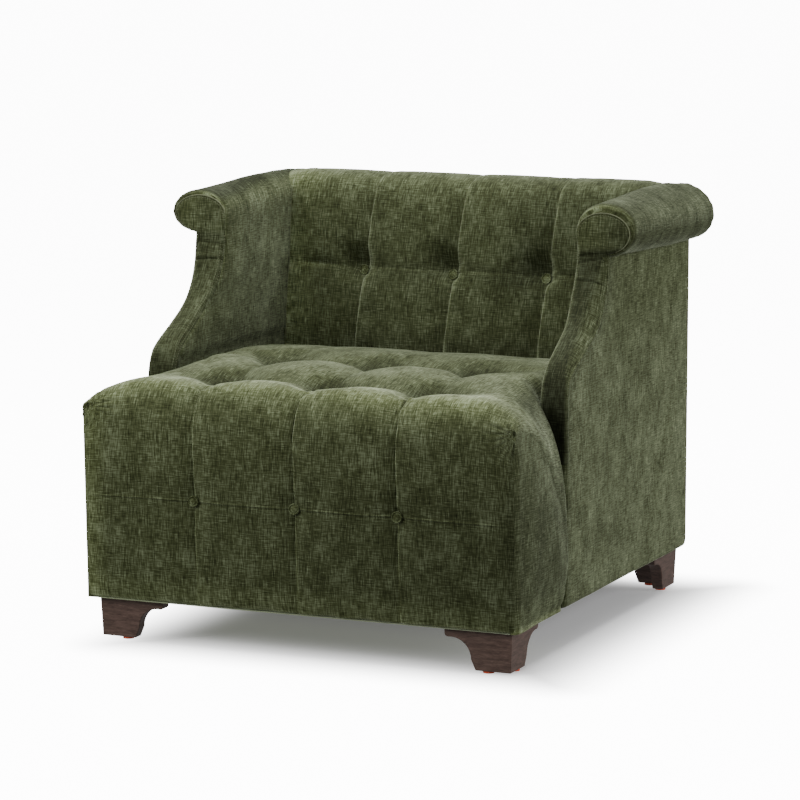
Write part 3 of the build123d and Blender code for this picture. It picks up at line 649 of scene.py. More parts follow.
def seatWall(front, top, side):
    # a side between the corner seam, the rolled edge and the hem, with its turned hem
    depthAt = (top[:, 1] - top[0, 1]) / (top[-1, 1] - top[0, 1])
    riseAt = (front[:, 2] - front[0, 2]) / (front[-1, 2] - front[0, 2])
    extra = np.array(seat["besideSeam"])
    ahead = np.concatenate([[0], extra[extra < depthAt[1] * 0.9], depthAt[1:]])
    top = np.stack([np.interp(ahead, depthAt, top[:, k]) for k in range(3)], axis=1)
    up = riseAt[:, None]
    frontY = front[:, 1][:, None]
    deep = top[-1, 1] - top[0, 1]
    y = frontY + (top[:, 1] - top[0, 1])[None, :] * (top[-1, 1] - frontY) / deep
    z = front[0, 2] + (top[:, 2] - front[0, 2])[None, :] * up
    x = halfAt(y, z)
    topX, cornerX = np.abs(top[:, 0])[None, :], np.abs(front[:, 0])[:, None]
    x = x + (topX - x[-1:]) * smooth01(0.75, 1, up)
    # the other half of the rounded corner
    r = np.maximum(chair["halfWidth"] - cornerX, 0) / (1 - math.sin(math.radians(45)))
    turn = np.radians(45 + 45 * np.clip((y - frontY) / np.maximum(r, 0.5), 0, 1))
    x = x - r * (1 - np.sin(turn)) * fade01(0.97, 1.0, up)
    x[:, 0], x[-1] = cornerX[:, 0], topX[0]
    swell = np.sin(np.clip(up, 0, 1) * math.pi) ** 0.8 * smooth01(4, 90, y) * fade01(170, 262, y)
    x = x + seat["sideSwell"] * swell * (1 - up ** 6)
    x = x - seat["hemTuck"] * fade01(75, 100, z) * smooth01(20, 120, y)
    wall = np.stack([side * x, y, z], axis=-1)
    wall[..., 0] += side * ripple(wall, *seat["ripples"]["side"]) * np.sin(up * math.pi) * smooth01(10, 40, y)
    # short gathers along the upper part of the corner seam
    gather = np.sin(z / 3.4 + 0.6 * np.sin(z / 19.0)) * np.exp(-np.clip(y - frontY, 0, None) / 12.0)
    gather = gather * smooth01(0.45, 0.8, up) * fade01(0.95, 1, up)
    wall[:, 1:, 0] += side * seat["gathers"]["side"] * gather[:, 1:]
    hemZ, hemWide = seat["turnedHem"]
    hem = np.stack([wall[0], wall[0], wall[0]])
    hem[1:, :, 2] = hemZ
    hem[2, :, 0] -= side * hemWide
    hemLie = [np.stack([y[0], np.full_like(y[0], h)], axis=-1) for h in (seat["hemLine"], 75, 66)]
    return [(wall, np.stack([y, z], axis=-1)), (hem, np.stack(hemLie))]


def seatNapAndLight(points, normals):
    # painted light and shade with the pile's lie: lighter on the lit left, the pleats' lips, the upper front,
    # near the hem and along the front crest and crowns; darker to the right, towards the back and down in the
    # tufts
    napAndLight = seat["napAndLight"]
    x, y, z = points.T
    upward = smooth01(0.15, 0.75, normals[:, 2])
    crest = fade01(70, 150, y) * (1 + 0.3 * smooth01(0, 200, x)) * (1 - 0.3 * smooth01(320, 390, x))
    crest *= 1 + 0.5 * fade01(-390, -230, x)
    front = napAndLight["front"] - napAndLight["rightShade"] * smooth01(-350, 380, x)
    front += napAndLight["lipHighlight"] * smooth01(0.25, 0.7, -normals[:, 0]) * (np.abs(x) < 300)
    front += napAndLight["leftEdgeLight"] * fade01(-408, -355, x) * smooth01(0.3, 0.75, -normals[:, 1])
    front += napAndLight["hem"] * fade01(84, 135, z) + napAndLight["upperLight"] * smooth01(260, 360, z)
    front -= napAndLight["rightEdgeShade"] * smooth01(380, 404, x) * fade01(330, 390, z)
    front += napAndLight["turned"] * fade01(75, 86, z)   # painted light on the turned hem, standing in for light from the floor
    top = napAndLight["top"] + napAndLight["crown"] * smooth01(438, 475, z) + napAndLight["crest"] * crest
    top -= napAndLight["rear"] * smooth01(260, 460, y)
    return front * (1 - upward) + top * upward


seatX = seatColumns(seat["meshStep"], 1.3, 34)
seatRows = stations(0, runEnd, seat["meshStep"], (runButton, 20, (runPinch, 2.2, 45)), 0.8, 8)
seatTop = settledSeat(seatX, seatRows)
for side in (-1, 1):
    gatherCorner(seatTop, side)
seatTop[..., 2] += ripple(seatTop, *seat["ripples"]["up"]) * smooth01(100, 200, seatTop[..., 2])
seatTop[..., 1] += ripple(seatTop, *seat["ripples"]["out"]) * smooth01(90, 150, seatTop[..., 2])
hemRow, pinchRow, lastRow = [
    int(np.argmin(np.abs(seatRows - run))) for run in (runHem, runPinch, seatRunAt(y=300))
]
seatPatches = [(seatTop, seatCloth(seatTop, seatX, seatRows))]
for side, column in ((-1, 0), (1, -1)):
    seatPatches += seatWall(seatTop[hemRow:pinchRow + 1, column], seatTop[pinchRow:lastRow + 1, column], side)
seatBlock = skin("seatBlock", seatPatches, seatNapAndLight, sharp=58)
print("seat block:", len(seatBlock.data.polygons), "faces")

# back cushion

backRest = {
    "path": (                # section from behind the seat up and over the top
        (668, 330), (664, 400), (661, 450), (663, 490), (670, 545), (684, 600), (697, 655), (712, 710),
        (724, 742), (742, 763), (772, 772), (806, 773), (838, 769), (858, 762), (864, 752), (862, 720),
    ),
    "halfWidth": 394.0,
    "columns": (-186.0, 0.0, 186.0),
    "buttonLine": 600.0,
    "topEdge": 742.0,
    "lean": 0.07,            # pleats lean to the right as they rise
    "step": 13.0,            # how proud a cell stands over its left neighbour
    "stepShare": (0.8, 1.1, 1.1, 0.6, 0.25, 0.05),   # of that, from the seat up and over the top
    "corner": 24.0,          # rounding of a lower cell beside its button
    "pocket": 21.0,
    "dimple": 8.0,
    # heights, and how far the ends sink back there to meet the arms
    "sink": ((330, 440, 600, 720, 760), (34, 38, 34, 12, 4)),
    "endFall": 5.0,          # the ends lie lower by this, and turn down over the rolls:
    "ends": (376.0, 15.0, 26.0),   # from where, in what width, how far
    "rear": 856.0,
    "rearHeights": (700.0, 330.0),
    "meshStep": 7.0,
    "ripples": {"out": (0.9, 60.0, 8), "up": (0.6, 70.0, 9)},
    "pad": {"pressure": 2.5, "stretch": 9.0, "bend": 0.8, "slack": -0.02, "cap": 6.0, "frames": 16},
    # painted light and shade on the back's cloth: lighter at the left end and on the lips, darker along the
    # fold, low down, at the upper right and in the hollows by the buttons
    "napAndLight": {
        "base": 0.97, "lipHighlight": 0.35, "leftEndLight": (1.2, 0.36), "lowLeftLight": 0.55,
        "fold": 0.12, "low": 0.15, "right": 0.12,
        # by column, painted shade in the hollows: how dark, how far to its left and how wide
        "hollowShades": ((0.0, 24, 28), (0.09, 38, 44), (0.28, 40, 46)),
    },
}
backCurve = rounded(backRest["path"], 5)
backRun = runLengths(backCurve)
upFront = backCurve[:, 0] < 800


def backRunAt(z):
    return float(np.interp(z, backCurve[upFront, 1], backRun[upFront]))


runTuft = backRunAt(backRest["buttonLine"])
runTopEdge = backRunAt(backRest["topEdge"])
backMarks = (backRunAt(440), runTuft - 25, runTuft, runTopEdge, runTopEdge + 60, runTopEdge + 130)


def backRelief(x, run, crisp):
    x, run = np.meshgrid(x, run)
    up = run - runTuft
    below = np.clip(-up, 0, None)
    lean = backRest["lean"] * np.clip(up, -170, 190)
    strength = backRest["step"] * np.interp(run, backMarks, backRest["stepShare"])
    lip = 3.2 + 4.0 * np.where(up < 0, np.exp(up / 40.0), 0) if crisp else 9.0
    r = backRest["corner"]
    relief = np.zeros_like(x)
    for column in backRest["columns"]:
        d = x - column - lean
        relief -= np.where(d < 0, strength * np.exp(d / 40.0), 0)
        # cell on the right: a rolled edge, with its top corner rounded below the button
        a = np.clip(d, 0, None)
        inCorner = (d > 0) & (up < 0) & (a < r) & (below < r)
        cornerGap = r - np.hypot(r - np.minimum(a, r), r - np.minimum(below, r))
        gap = np.where(inCorner, a + (cornerGap - a) * smooth01(0, 11, below), a)
        lipDrop = np.where(gap > 0, np.exp(-gap / lip), 1.0)
        relief -= np.where(d >= 0, strength * lipDrop, 0)
        pocket = bell(d + 15, 27.0) * bell(up - 15, 25.0)
        relief -= backRest["pocket"] * pocket * np.where(d < 4, 1.0, bell(d - 4, 14.0))
        relief -= backRest["dimple"] * bell(d - 3, 22.0) * bell(up - 4, 17.0)
    # thin fold between the buttons: the lower cells stand a little proud
    foldDeep = np.where(up >= 0, np.exp(-up / 9.0), np.exp(up / 2.0))
    relief -= (1.9 if crisp else 1.0) * foldDeep * fade01(300, 345, np.abs(x))
    return relief


def backSurface(x, run, crisp=True):
    base, normal = sectionAt(backCurve, backRun, run)
    relief = backRelief(x, run, crisp)
    across = np.abs(x)[None, :]
    y = base[:, :1] + normal[:, :1] * relief
    z = base[:, 1:] + normal[:, 1:] * relief
    # the ends sink back to meet the arms
    bow = np.minimum((across / chair["armInner"]) ** 2.6, 1.25)
    y = y + bow * np.interp(base[:, 1:], *backRest["sink"]) * fade01(735, 775, base[:, :1])
    # and turn down over the rolls
    endFrom, endWide, endDrop = backRest["ends"]
    ending = np.clip((across - endFrom) / endWide, 0, 1)
    z = z - backRest["endFall"] * smooth01(338, 384, across) * smooth01(700, 770, base[:, 1:])
    z = z - endDrop * (1 - np.sqrt(1 - ending ** 2)) * smooth01(690, 750, base[:, 1:])
    return np.stack([np.broadcast_to(x[None, :], y.shape), y, z], axis=-1)


def settledBack(x, run):
    coarseX = np.linspace(-backRest["halfWidth"], backRest["halfWidth"], 74)
    coarseRun = np.linspace(0, float(backRun[-1]), 54)
    coarse = backSurface(coarseX, coarseRun, crisp=False)
    held = np.zeros(coarse.shape[:2])
    held[:3], held[-4:], held[:, :5], held[:, -5:] = 1, 1, 1, 1
    gridX, gridRun = np.meshgrid(coarseX, coarseRun)
    for column in backRest["columns"]:
        pleat = column + backRest["lean"] * (gridRun - runTuft)
        held = np.maximum(held, bell(np.hypot(gridX - column, gridRun - runTuft), 22.0))
        held = np.maximum(held, 0.7 * bell(gridX - pleat, 10.0))
    stuffed = 0.6 - 0.4 * smooth01(runTopEdge - 60, runTopEdge, gridRun)
    move = settle(coarse, held, backRest["pad"]) * stuffed[..., None]
    return backSurface(x, run) + spreadMove(move, coarseRun, coarseX, run, x)


def backNapAndLight(points, normals):
    # painted light at the left end and on the lips, painted shade along the fold, low down, at the upper
    # right and in the hollows
    napAndLight = backRest["napAndLight"]
    x, y, z = points.T
    leftEndLight = napAndLight["leftEndLight"][0] * fade01(-351, -270, x) + napAndLight["leftEndLight"][1] * fade01(-310, -200, x)
    leftEndLight *= 1 - 0.62 * smooth01(640, 710, z)
    leftEndLight += napAndLight["lowLeftLight"] * fade01(-345, -170, x) * fade01(490, 570, z)
    backShade = napAndLight["fold"] * bell(z - 598, 24) + napAndLight["low"] * fade01(455, 505, z)
    backShade += napAndLight["right"] * smooth01(40, 150, x) * smooth01(610, 660, z)
    for column, (dark, aside, wide) in zip(backRest["columns"], napAndLight["hollowShades"]):
        backShade += dark * bell(x - column + aside, wide) * bell(z - 594, 44)
    return napAndLight["base"] - backShade + leftEndLight + napAndLight["lipHighlight"] * smooth01(0.2, 0.6, -normals[:, 0])


turnedEnds = [(side * 386, 1.3, 9) for side in (-1, 1)]
backSpots = [*backRest["columns"], *turnedEnds]
backX = stations(-backRest["halfWidth"], backRest["halfWidth"], backRest["meshStep"], backSpots, 1.5, 16)
backRows = stations(0, float(backRun[-1]), backRest["meshStep"], (runTuft,), 1.5, 12)
backFace = settledBack(backX, backRows)
backFace[..., 1] += ripple(backFace, *backRest["ripples"]["out"])
backFace[..., 2] += ripple(backFace, *backRest["ripples"]["up"]) * smooth01(700, 760, backFace[..., 2])
backCloth = np.stack(np.meshgrid(backX, backRows), axis=-1)
rearWall = np.stack([backFace[-1], backFace[-1], backFace[0]])
rearWall[1:, :, 1] = backRest["rear"]
rearWall[1, :, 2], rearWall[2, :, 2] = backRest["rearHeights"]
rearCloth = np.stack([np.stack([backX, np.full_like(backX, h)], axis=-1) for h in (0, 40, 400)])
backCushion = skin("backCushion", [(backFace, backCloth), (rearWall, rearCloth)], backNapAndLight, sharp=60)
print("back cushion:", len(backCushion.data.polygons), "faces")

# arms

arm = {
    "lowEnd": 330.0,         # the arm's cloth ends down here, behind the seat
    "toe": (228.0, 482.0),   # the S line's two bends
    "neck": (420.0, 602.0),
    "toeRadius": 90.0,
    "neckRadius": 185.0,
    "edge": 15.0,            # rounding of the facing's inner edge
    "innerX": 353.0,
    "neckIn": 6.5,           # the neck is padded inwards by this
    # heights, and the rounding of the facing's outer edge there
    "outerEdge": ((430, 470, 495, 520, 546, 575, 602, 637, 655, 674), (7, 8, 18, 24, 31, 35, 33, 26, 20, 10)),
    "outerShare": {-1: 0.82, 1: 1.0},
    "rollTall": 46.0,        # half the height of the roll
    "rollBack": 58.5,        # and on its inner side towards the back
    "rollStart": 430.5,
    "rollEnd": 866.0,
    "rollEdge": 13.0,        # rounding of its front edge
    "rollSwell": 1.6,        # stuffing of the roll and of the arm's inner face
    "faceSwell": 3.0,
    "rollSag": (8.5, 8.0),   # at the back, on the outer side and below
    "discFlush": 2.5,        # the scroll end's disc lies this far in, with a crown and a small edge
    "discCrown": 3.0,
    "neckDip": 4.0,          # where the neck is drawn in under the scroll end
    "gathers": {"front": 0.35, "back": 0.45, "below": 1.32},
    "ripples": {"facing": (0.5, 38.0, 11), "inside": (0.9, 48.0, 14)},
    "tuckedX": 354.5,        # the inside cover below the seat's top
    "hiddenX": 366.0,        # and its turned edge inside the arm
    # the scroll ends are not quite alike: middle and half sizes of the disc, middle and half height of
    # the roll's front, and how far its rim turns in at the top, outside and below
    "scroll": {
        -1: {"disc": (396.5, 716.5, 50.0, 33.5), "front": (720.0, 39.0), "rim": (9.0, 3.0, 2.0)},
        1: {"disc": (396.0, 711.0, 49.5, 36.0), "front": (717.0, 46.0), "rim": (13.0, 5.5, 5.0)},
    },
    "creases": {             # height, depth and tilt of the folds across the neck
        -1: ((635, 3.2, -3), (664, 1.0, 5), (645, 0.8, 8)),
        1: ((674, 1.7, 8), (663, 1.2, 12), (628, 1.6, -5)),
    },
    # painted light and shade on the arms' cloth, along with the pile's lie
    "napAndLight": {
        "facing": {-1: 0.76, 1: 0.53}, "inward": {-1: 0.0, 1: 0.5}, "outward": 0.50,
        "scroll": (0.34, 0.42), "toe": (0.14, 0.16),
        "inside": 0.84, "innerFaceLight": 0.40, "rim": 0.75, "above": {-1: 0.42, 1: 0.25}, "low": 0.22,
    },
}


def filleted(points, radii, step=3.0):
    # straight runs with arcs at the inner corners
    pts = [np.array(p, float) for p in points]
    out = [pts[0]]
    for before, at, after, radius in zip(pts, pts[1:], pts[2:], radii):
        a, b = (before - at) / np.linalg.norm(before - at), (after - at) / np.linalg.norm(after - at)
        half = math.acos(np.clip(np.dot(a, b), -1, 1)) / 2
        centre = at + (a + b) / np.linalg.norm(a + b) * radius / math.sin(half)
        first, last = [at + way * radius / math.tan(half) - centre for way in (a, b)]
        turn = math.copysign(math.pi - 2 * half, first[0] * last[1] - first[1] * last[0])
        for t in np.linspace(0, turn, max(3, int(abs(turn) * radius / step))):
            c, s = math.cos(t), math.sin(t)
            out.append(centre + np.array([first[0] * c - first[1] * s, first[0] * s + first[1] * c]))
    out.append(pts[-1])
    return np.array(out)


sCorners = [(arm["toe"][0], 300), arm["toe"], arm["neck"], (arm["neck"][0] + 9, 790)]
sLine = filleted(sCorners, (arm["toeRadius"], arm["neckRadius"]))


def sDepth(z):
    return np.interp(z, sLine[:, 1], sLine[:, 0])


# the S line again in even steps of about 2 mm, with its outward normals
sHeights = np.linspace(325, 790, 600)
sFine = np.stack([sDepth(sHeights), sHeights], axis=1)
sFineRun = runLengths(sFine)
sPath, sOut = sectionAt(sFine, sFineRun, np.linspace(0, sFineRun[-1], int(sFineRun[-1] / 2.0) + 1))


def outerRound(side, z):
    # the strip turns its outer corner sharply at the toe and widely at the neck
    return np.interp(z, *arm["outerEdge"]) * arm["outerShare"][side]


def neckIn(z):
    return arm["neckIn"] * smooth01(545, 605, z)


def setBack(z, lap):
    # depth of the S line at a height after it is moved inwards by lap
    moved = sPath - sOut * lap
    order = np.argsort(moved[:, 1])
    return np.interp(z, moved[order, 1], moved[order, 0])


def turnedEdge(points, cloth, side, sign):
    # the facing turns in at its edges, towards the frame
    rows, lies = [points], [cloth]
    for depth, aside in ((5.0, 0.6), (11.0, 1.3)):
        rows.append(points + np.array([side * sign * aside, depth, 0]))
        lies.append(cloth - np.array([sign * depth, 0]))
    return np.stack(rows, axis=1), np.stack(lies, axis=1)


def armFacing(side, name):
    midX, midZ, wideHalf, tall = arm["scroll"][side]["disc"]
    top = midZ + tall
    height = stations(arm["lowEnd"], top - 0.1, 5.0, (top, 668, 630), 1.0, 10)
    half = wideHalf * np.sqrt(np.clip(1 - ((height - midZ) / tall) ** 2, 0, 1))
    strip = arm["innerX"] - neckIn(height)
    inner = np.where(height < midZ, strip, np.maximum(midX - half, strip))
    outer = np.where(height > midZ - tall, midX + half, chair["halfWidth"])
    outer = np.where(height < midZ, np.maximum(outer, chair["halfWidth"]), outer)
    share = np.concatenate([
        0.3 * (1 - np.cos(np.linspace(0, math.pi / 2, 12))),
        np.linspace(0.3, 0.4, 4)[1:-1],
        0.4 + 0.6 * np.sin(np.radians(np.linspace(0, 90, 15))),
    ])
    sz, inner, outer = height[:, None], inner[:, None], outer[:, None]
    x = inner + (outer - inner) * share[None, :]
    flush = smooth01(680, 705, sz)
    r = arm["edge"] - (arm["edge"] - arm["discFlush"]) * flush
    wide = outerRound(side, sz)
    inDisc = sz > midZ
    radial = (1 - np.hypot((x - midX) / wideHalf, np.maximum(sz - midZ, 0) / tall)) * tall
    back = edgeDrop(np.where(inDisc, np.clip(radial, 0, None), x - inner), r)
    back = back + edgeDrop(np.where(inDisc, wide, outer - x), wide)
    crown = np.clip(1 - np.hypot((x - midX) / 44, (sz - midZ) / 34) ** 2, 0, None)
    back = back + arm["discFlush"] * flush - arm["discCrown"] * crown
    # folds across the neck under the scroll end, and a dip where it is drawn in
    dip = arm["neckDip"] * bell(sz - 668, 12) * (0.35 + 0.65 * smooth01(0.3, 1.0, share))[None, :]
    for at, deep, tilt in arm["creases"][side]:
        line = sz - at - tilt * (share[None, :] - 0.5)
        dip = dip + deep * np.exp(-np.abs(line) / 1.8) - 0.6 * deep * bell(line - 5, 4.0)
    back = back + dip * smooth01(0.02, 0.2, share)[None, :]
    outY, outZ = [np.interp(sz, sPath[:, 1], sOut[:, k]) for k in range(2)]
    pts = np.stack([side * x, sDepth(sz) - outY * back, sz - outZ * back * (sz < 690)], axis=-1)
    pts[..., 1] += ripple(pts, *arm["ripples"]["facing"])
    run = runLengths(np.stack([sDepth(height), height], axis=1))
    cloth = np.stack([side * x, np.broadcast_to(run[:, None], x.shape)], axis=-1)
    edges = [turnedEdge(pts[:, k], cloth[:, k], side, sign) for k, sign in ((0, 1), (-1, -1))]

    def napAndLight(points, normals):
        # brushed downwards, so dark in front; with painted light where it turns to the side, at the inner
        # edge and on the scroll end, most on its lit left, and painted shade low down at the toe
        look = arm["napAndLight"]
        x, y, z = points.T
        litLeft = fade01(365, 430, x) if side > 0 else fade01(-435, -375, x)
        scroll = smooth01(672, 695, z) * (look["scroll"][0] + look["scroll"][1] * litLeft)
        inward = look["inward"][side] * smooth01(0.2, 0.8, -normals[:, 0] * side)
        outward = look["outward"] * smooth01(0.1, 0.95, normals[:, 0] * side)
        toe = look["toe"][0] * fade01(450, 510, z) + look["toe"][1] * fade01(390, 440, z)
        return look["facing"][side] + scroll + inward + outward - toe
    return skin(name, [(pts, cloth), *edges], napAndLight)


def rollDrop(outX, outZ):
    # how the roll sags at the back on its outer side and below
    out, low = np.clip(outX, 0, 1), np.clip(-outZ, 0, 1)
    return arm["rollSag"][0] * out + arm["rollSag"][1] * low * (1 - 0.5 * out)


def rollRise(outX, outZ):
    # how its inner side rises towards the back cushion
    return (arm["rollBack"] - arm["rollTall"]) * smooth01(-0.35, 0.55, -outX) * np.clip(outZ, 0, 1)


def armSection():
    # from the seat up the inside of the arm, round the roll and down again inside it
    low, tucked, hidden = arm["lowEnd"], arm["tuckedX"], arm["hiddenX"]
    rise = [(tucked, z) for z in np.linspace(low, 470, 12)]
    rise += [(chair["armInner"], z) for z in np.linspace(478, 708, 34)]
    turn = np.radians(np.linspace(180, -118, 74))
    ring = np.stack([np.cos(turn) * chair["rollRadius"], np.sin(turn) * arm["rollTall"]], axis=1)
    ring += np.array([chair["rollX"], chair["rollZ"]])
    inward = [(hidden + 5, 672.0), (hidden, 600.0), (hidden, 480.0), (hidden, low), (tucked, low)]
    angle = np.concatenate([np.full(len(rise), math.pi), turn, np.zeros(len(inward))])
    kind = np.repeat((0, 1, 2), (len(rise), len(ring), len(inward)))
    return np.concatenate([rise, ring, inward]), angle, kind == 1, kind == 2


def insideArm(side, name):
    # the section is carried from the front of the arm to the back
    section, angle, onRoll, hidden = armSection()
    height = section[:, 1]
    nose = np.array([0, 0.25, 0.55, 1.0, 1.6, 2.4, 3.4, 4.6, 6.2, 8.4, 11.0, 14.0]) / 14.0 * 0.06
    share = np.concatenate([nose, stations(0.06, 1, 0.018)[1:]])
    blend = np.where(onRoll, 1.0, smooth01(640, 705, height))
    front = np.where(onRoll, arm["rollStart"], setBack(height, arm["edge"] - 4.0))
    front = (front * (1 - blend) + arm["rollStart"] * blend)[:, None]
    y = front + (arm["rollEnd"] - front) * share[None, :]
    behind = y - front
    outX, outZ = np.cos(angle)[:, None], np.sin(angle)[:, None]
    height, onRoll, hidden = height[:, None], onRoll[:, None], hidden[:, None]
    shown, onFlat = ~hidden, ~onRoll & ~hidden
    lean = np.where(onRoll, arm["neckIn"] * np.clip(-outX, 0, 1), neckIn(height) * shown)
    # the front edge rolls in to the seam of the scroll end, most at the top
    rimTop, rimOut, rimLow = arm["scroll"][side]["rim"]
    rim = rimOut + (rimTop - rimOut) * np.clip(outZ, 0, 1) + (rimLow - rimOut) * np.clip(-outZ, 0, 1)
    rim = np.where(onRoll, rim + (5.0 - rim) * np.clip(-outX, 0, 1), 5.0)
    small = edgeDrop(behind, arm["rollEdge"]) / arm["rollEdge"] * rim * shown
    swell = onRoll * arm["rollSwell"] * np.sin(np.clip(behind / 430.0, 0, 1) * math.pi)
    faceSwell = onFlat * arm["faceSwell"] * smooth01(450, 560, height)
    swell = swell + faceSwell * np.sin(np.clip(behind / 300.0, 0, 1) * math.pi)
    stand = swell - small + lean * fade01(40, 190, behind)
    x = section[:, :1] + outX * stand
    z = section[:, 1:] + outZ * stand * onRoll
    # the roll's front may be flatter than the rest
    frontMid, frontTall = arm["scroll"][side]["front"]
    flatter = frontMid - chair["rollZ"] + (frontTall - arm["rollTall"]) * outZ
    z = z + onRoll * fade01(20, 210, behind) * flatter
    # towards the back its inner side rises to the back cushion, and the underside sinks a little
    rise = rollRise(outX, outZ) * smooth01(0, 260, behind) * (1 - 0.6 * smooth01(350, 436, behind))
    z = z + onRoll * (rise - smooth01(0, 400, behind) * rollDrop(outX, outZ))
    pts = np.stack([side * x, y, z], axis=-1)
    wave = ripple(pts, *arm["ripples"]["inside"])
    pts[..., 0] += side * outX * wave * shown
    pts[..., 2] += outZ * wave * onRoll
    around = runLengths(section)[:, None]
    # fine gathers where the cloth is drawn round the front and back of the roll, and along its underside
    gathers = arm["gathers"]
    drawn = gathers["front"] * np.exp(-behind / 9.0) + gathers["back"] * np.exp(-(arm["rollEnd"] - y) / 12.0)
    below = gathers["below"] * np.clip(-outZ - 0.55, 0, 1)
    gather = np.cos(around / 3.1) * drawn + np.cos(y / 5.3 + 2 * np.sin(y / 37.0)) * below
    pts[..., 0] += side * outX * gather * onRoll
    pts[..., 2] += outZ * gather * onRoll
    cloth = np.stack([y, np.broadcast_to(around, y.shape)], axis=-1)

    def napAndLight(points, normals):
        # painted light on the front rim and the inner face, painted shade on top and low down
        look = arm["napAndLight"]
        rim = smooth01(0.25, 0.8, -normals[:, 1]) * (1 - 0.55 * smooth01(400, 435, np.abs(points[:, 0])))
        above = look["above"][side] * smooth01(0.4, 0.9, normals[:, 2])
        low = look["low"] * fade01(470, 545, points[:, 2])
        inner = look["innerFaceLight"] * smooth01(0.5, 1.0, -normals[:, 0] * side)
        return look["inside"] + look["rim"] * rim - above - low + inner
    return skin(name, [(pts, cloth)], napAndLight)


sidePanel = {
    "x": 405.0,
    "low": 75.6,
    "top": {-1: 685.0, 1: 672.0},   # up into the roll, which is flatter in front on the left
    "front": 231.0,
    "rear": 869.0,
    "bend": 20.0,            # rounding of the lower corner at the back
    "lap": 9.0,              # how far the front edge lies before the facing's outer edge
    "puff": 2.0,
    "fullBack": 1.5,         # it is fuller towards the back
    "frontFull": 0.9,        # and along the facing
    "ripple": (0.8, 80.0, 17),
    "frontSteps": (0, 0.4, 0.9, 1.6, 2.6, 4.0, 6.0, 9.0, 13.0),   # finer towards its edges
    "rearSteps": (18, 13, 9, 6, 4.2, 2.8, 1.7, 0.9, 0.4, 0),
    "span": 640.0,           # about its depth, to turn the steps into shares of it
    # painted light and shade on the outside panels: brighter overall and towards the back and top, darker low
    # at the front and along the front edge
    "napAndLight": {"base": 1.3, "rear": 0.14, "upperLight": 0.08, "lowFrontShade": 0.40, "upperFrontShade": 0.34},
}


def outsideArm(side, name):
    top, low = sidePanel["top"][side], sidePanel["low"]
    zs = stations(low, top, 9.0, (75, top), 1.6, 8)
    frontSteps = np.array(sidePanel["frontSteps"]) / sidePanel["span"]
    rearSteps = np.array(sidePanel["rearSteps"]) / sidePanel["span"]
    share = np.concatenate([frontSteps, stations(0.028, 0.965, 0.016), 1 - rearSteps])
    # the front edge lies just before the facing's own outer edge
    lap = np.maximum(outerRound(side, sPath[:, 1]) - sidePanel["lap"], 3.0)
    lap = lap * smooth01(arm["lowEnd"], 420, sPath[:, 1])
    front = np.where(zs < arm["lowEnd"], sidePanel["front"], setBack(zs, lap[:, None]))
    front = np.maximum(front, sidePanel["front"])
    bend = sidePanel["bend"]
    turned = np.clip(chair["hemHeight"] + bend - zs, 0, bend)
    rear = sidePanel["rear"] - (bend - np.sqrt(bend ** 2 - turned ** 2))
    y = front[:, None] + (rear - front)[:, None] * share[None, :]
    gapFront, gapRear = y - front[:, None], rear[:, None] - y
    gapLow, gapTop = (zs - low)[:, None], (top - zs)[:, None]
    frontRound = (9.0 - 7.0 * smooth01(380, 430, zs) + 5.0 * smooth01(640, 672, zs))[:, None]
    sink = np.zeros_like(y)
    for gap, r in ((gapFront, frontRound), (gapRear, 3.0), (gapLow, 7.0), (gapTop, 10.0)):
        sink += edgeDrop(gap, r)
    across = np.clip(gapFront / (rear - front)[:, None], 0, 1)
    puff = sidePanel["puff"] * np.sin(across * math.pi) * np.sin((zs - 75) / 600 * math.pi)[:, None]
    x = sidePanel["x"] + puff - sink + sidePanel["fullBack"] * smooth01(500, 820, y)
    x = x + sidePanel["frontFull"] * fade01(0, 60, gapFront) * smooth01(420, 470, zs)[:, None]
    z = np.broadcast_to(zs[:, None], y.shape)
    pts = np.stack([side * x, y, z], axis=-1)
    pts[..., 0] += side * ripple(pts, *sidePanel["ripple"]) * smooth01(0, 40, np.minimum(gapFront, gapRear))

    def napAndLight(points, normals):
        # painted light towards the back and higher up, painted shade low at the front and along the front
        # edge
        look = sidePanel["napAndLight"]
        x, y, z = points.T
        edge = look["lowFrontShade"] * fade01(231, 270, y) * fade01(440, 520, z)
        edge += look["upperFrontShade"] * fade01(0, 55, y - np.interp(z, zs, front)) * smooth01(440, 540, z)
        lit = look["rear"] * smooth01(480, 860, y) + look["upperLight"] * smooth01(480, 600, z)
        return look["base"] + lit - edge
    return skin(name, [(pts, np.stack([y, z], axis=-1))], napAndLight)


velvetPieces = []
armFaces = {}
for side, hand in hands:
    facing = armFacing(side, "armFacing_" + hand)
    armFaces[hand] = facing
    inside = insideArm(side, "insideArm_" + hand)
    outside = outsideArm(side, "outsideArm_" + hand)
    velvetPieces.append((facing, 0.9, ["arm_facing_" + hand]))
    velvetPieces.append((inside, 0.85, ["inside_arm_cover_" + hand]))
    velvetPieces.append((outside, 0.95, ["outside_arm_panel_" + hand]))
    print("arm", hand, "made:", sum(len(piece.data.polygons) for piece in (facing, inside, outside)), "faces")

# outside back

rearPanel = {
    "face": 870.0,
    "depth": 12.0,
    "edge": 6.0,             # rounding all round
    "halfWidth": 400.0,
    "bend": 16.0,            # rounding of the lower corners
    "top": 761.0,
    "insideRoll": 1.5,       # how far it stays inside the end of a roll
    "crown": (2.5, 0.2),     # the flat starts this far inside the rounding and stands this proud
    "napAndLight": 1.5,
}


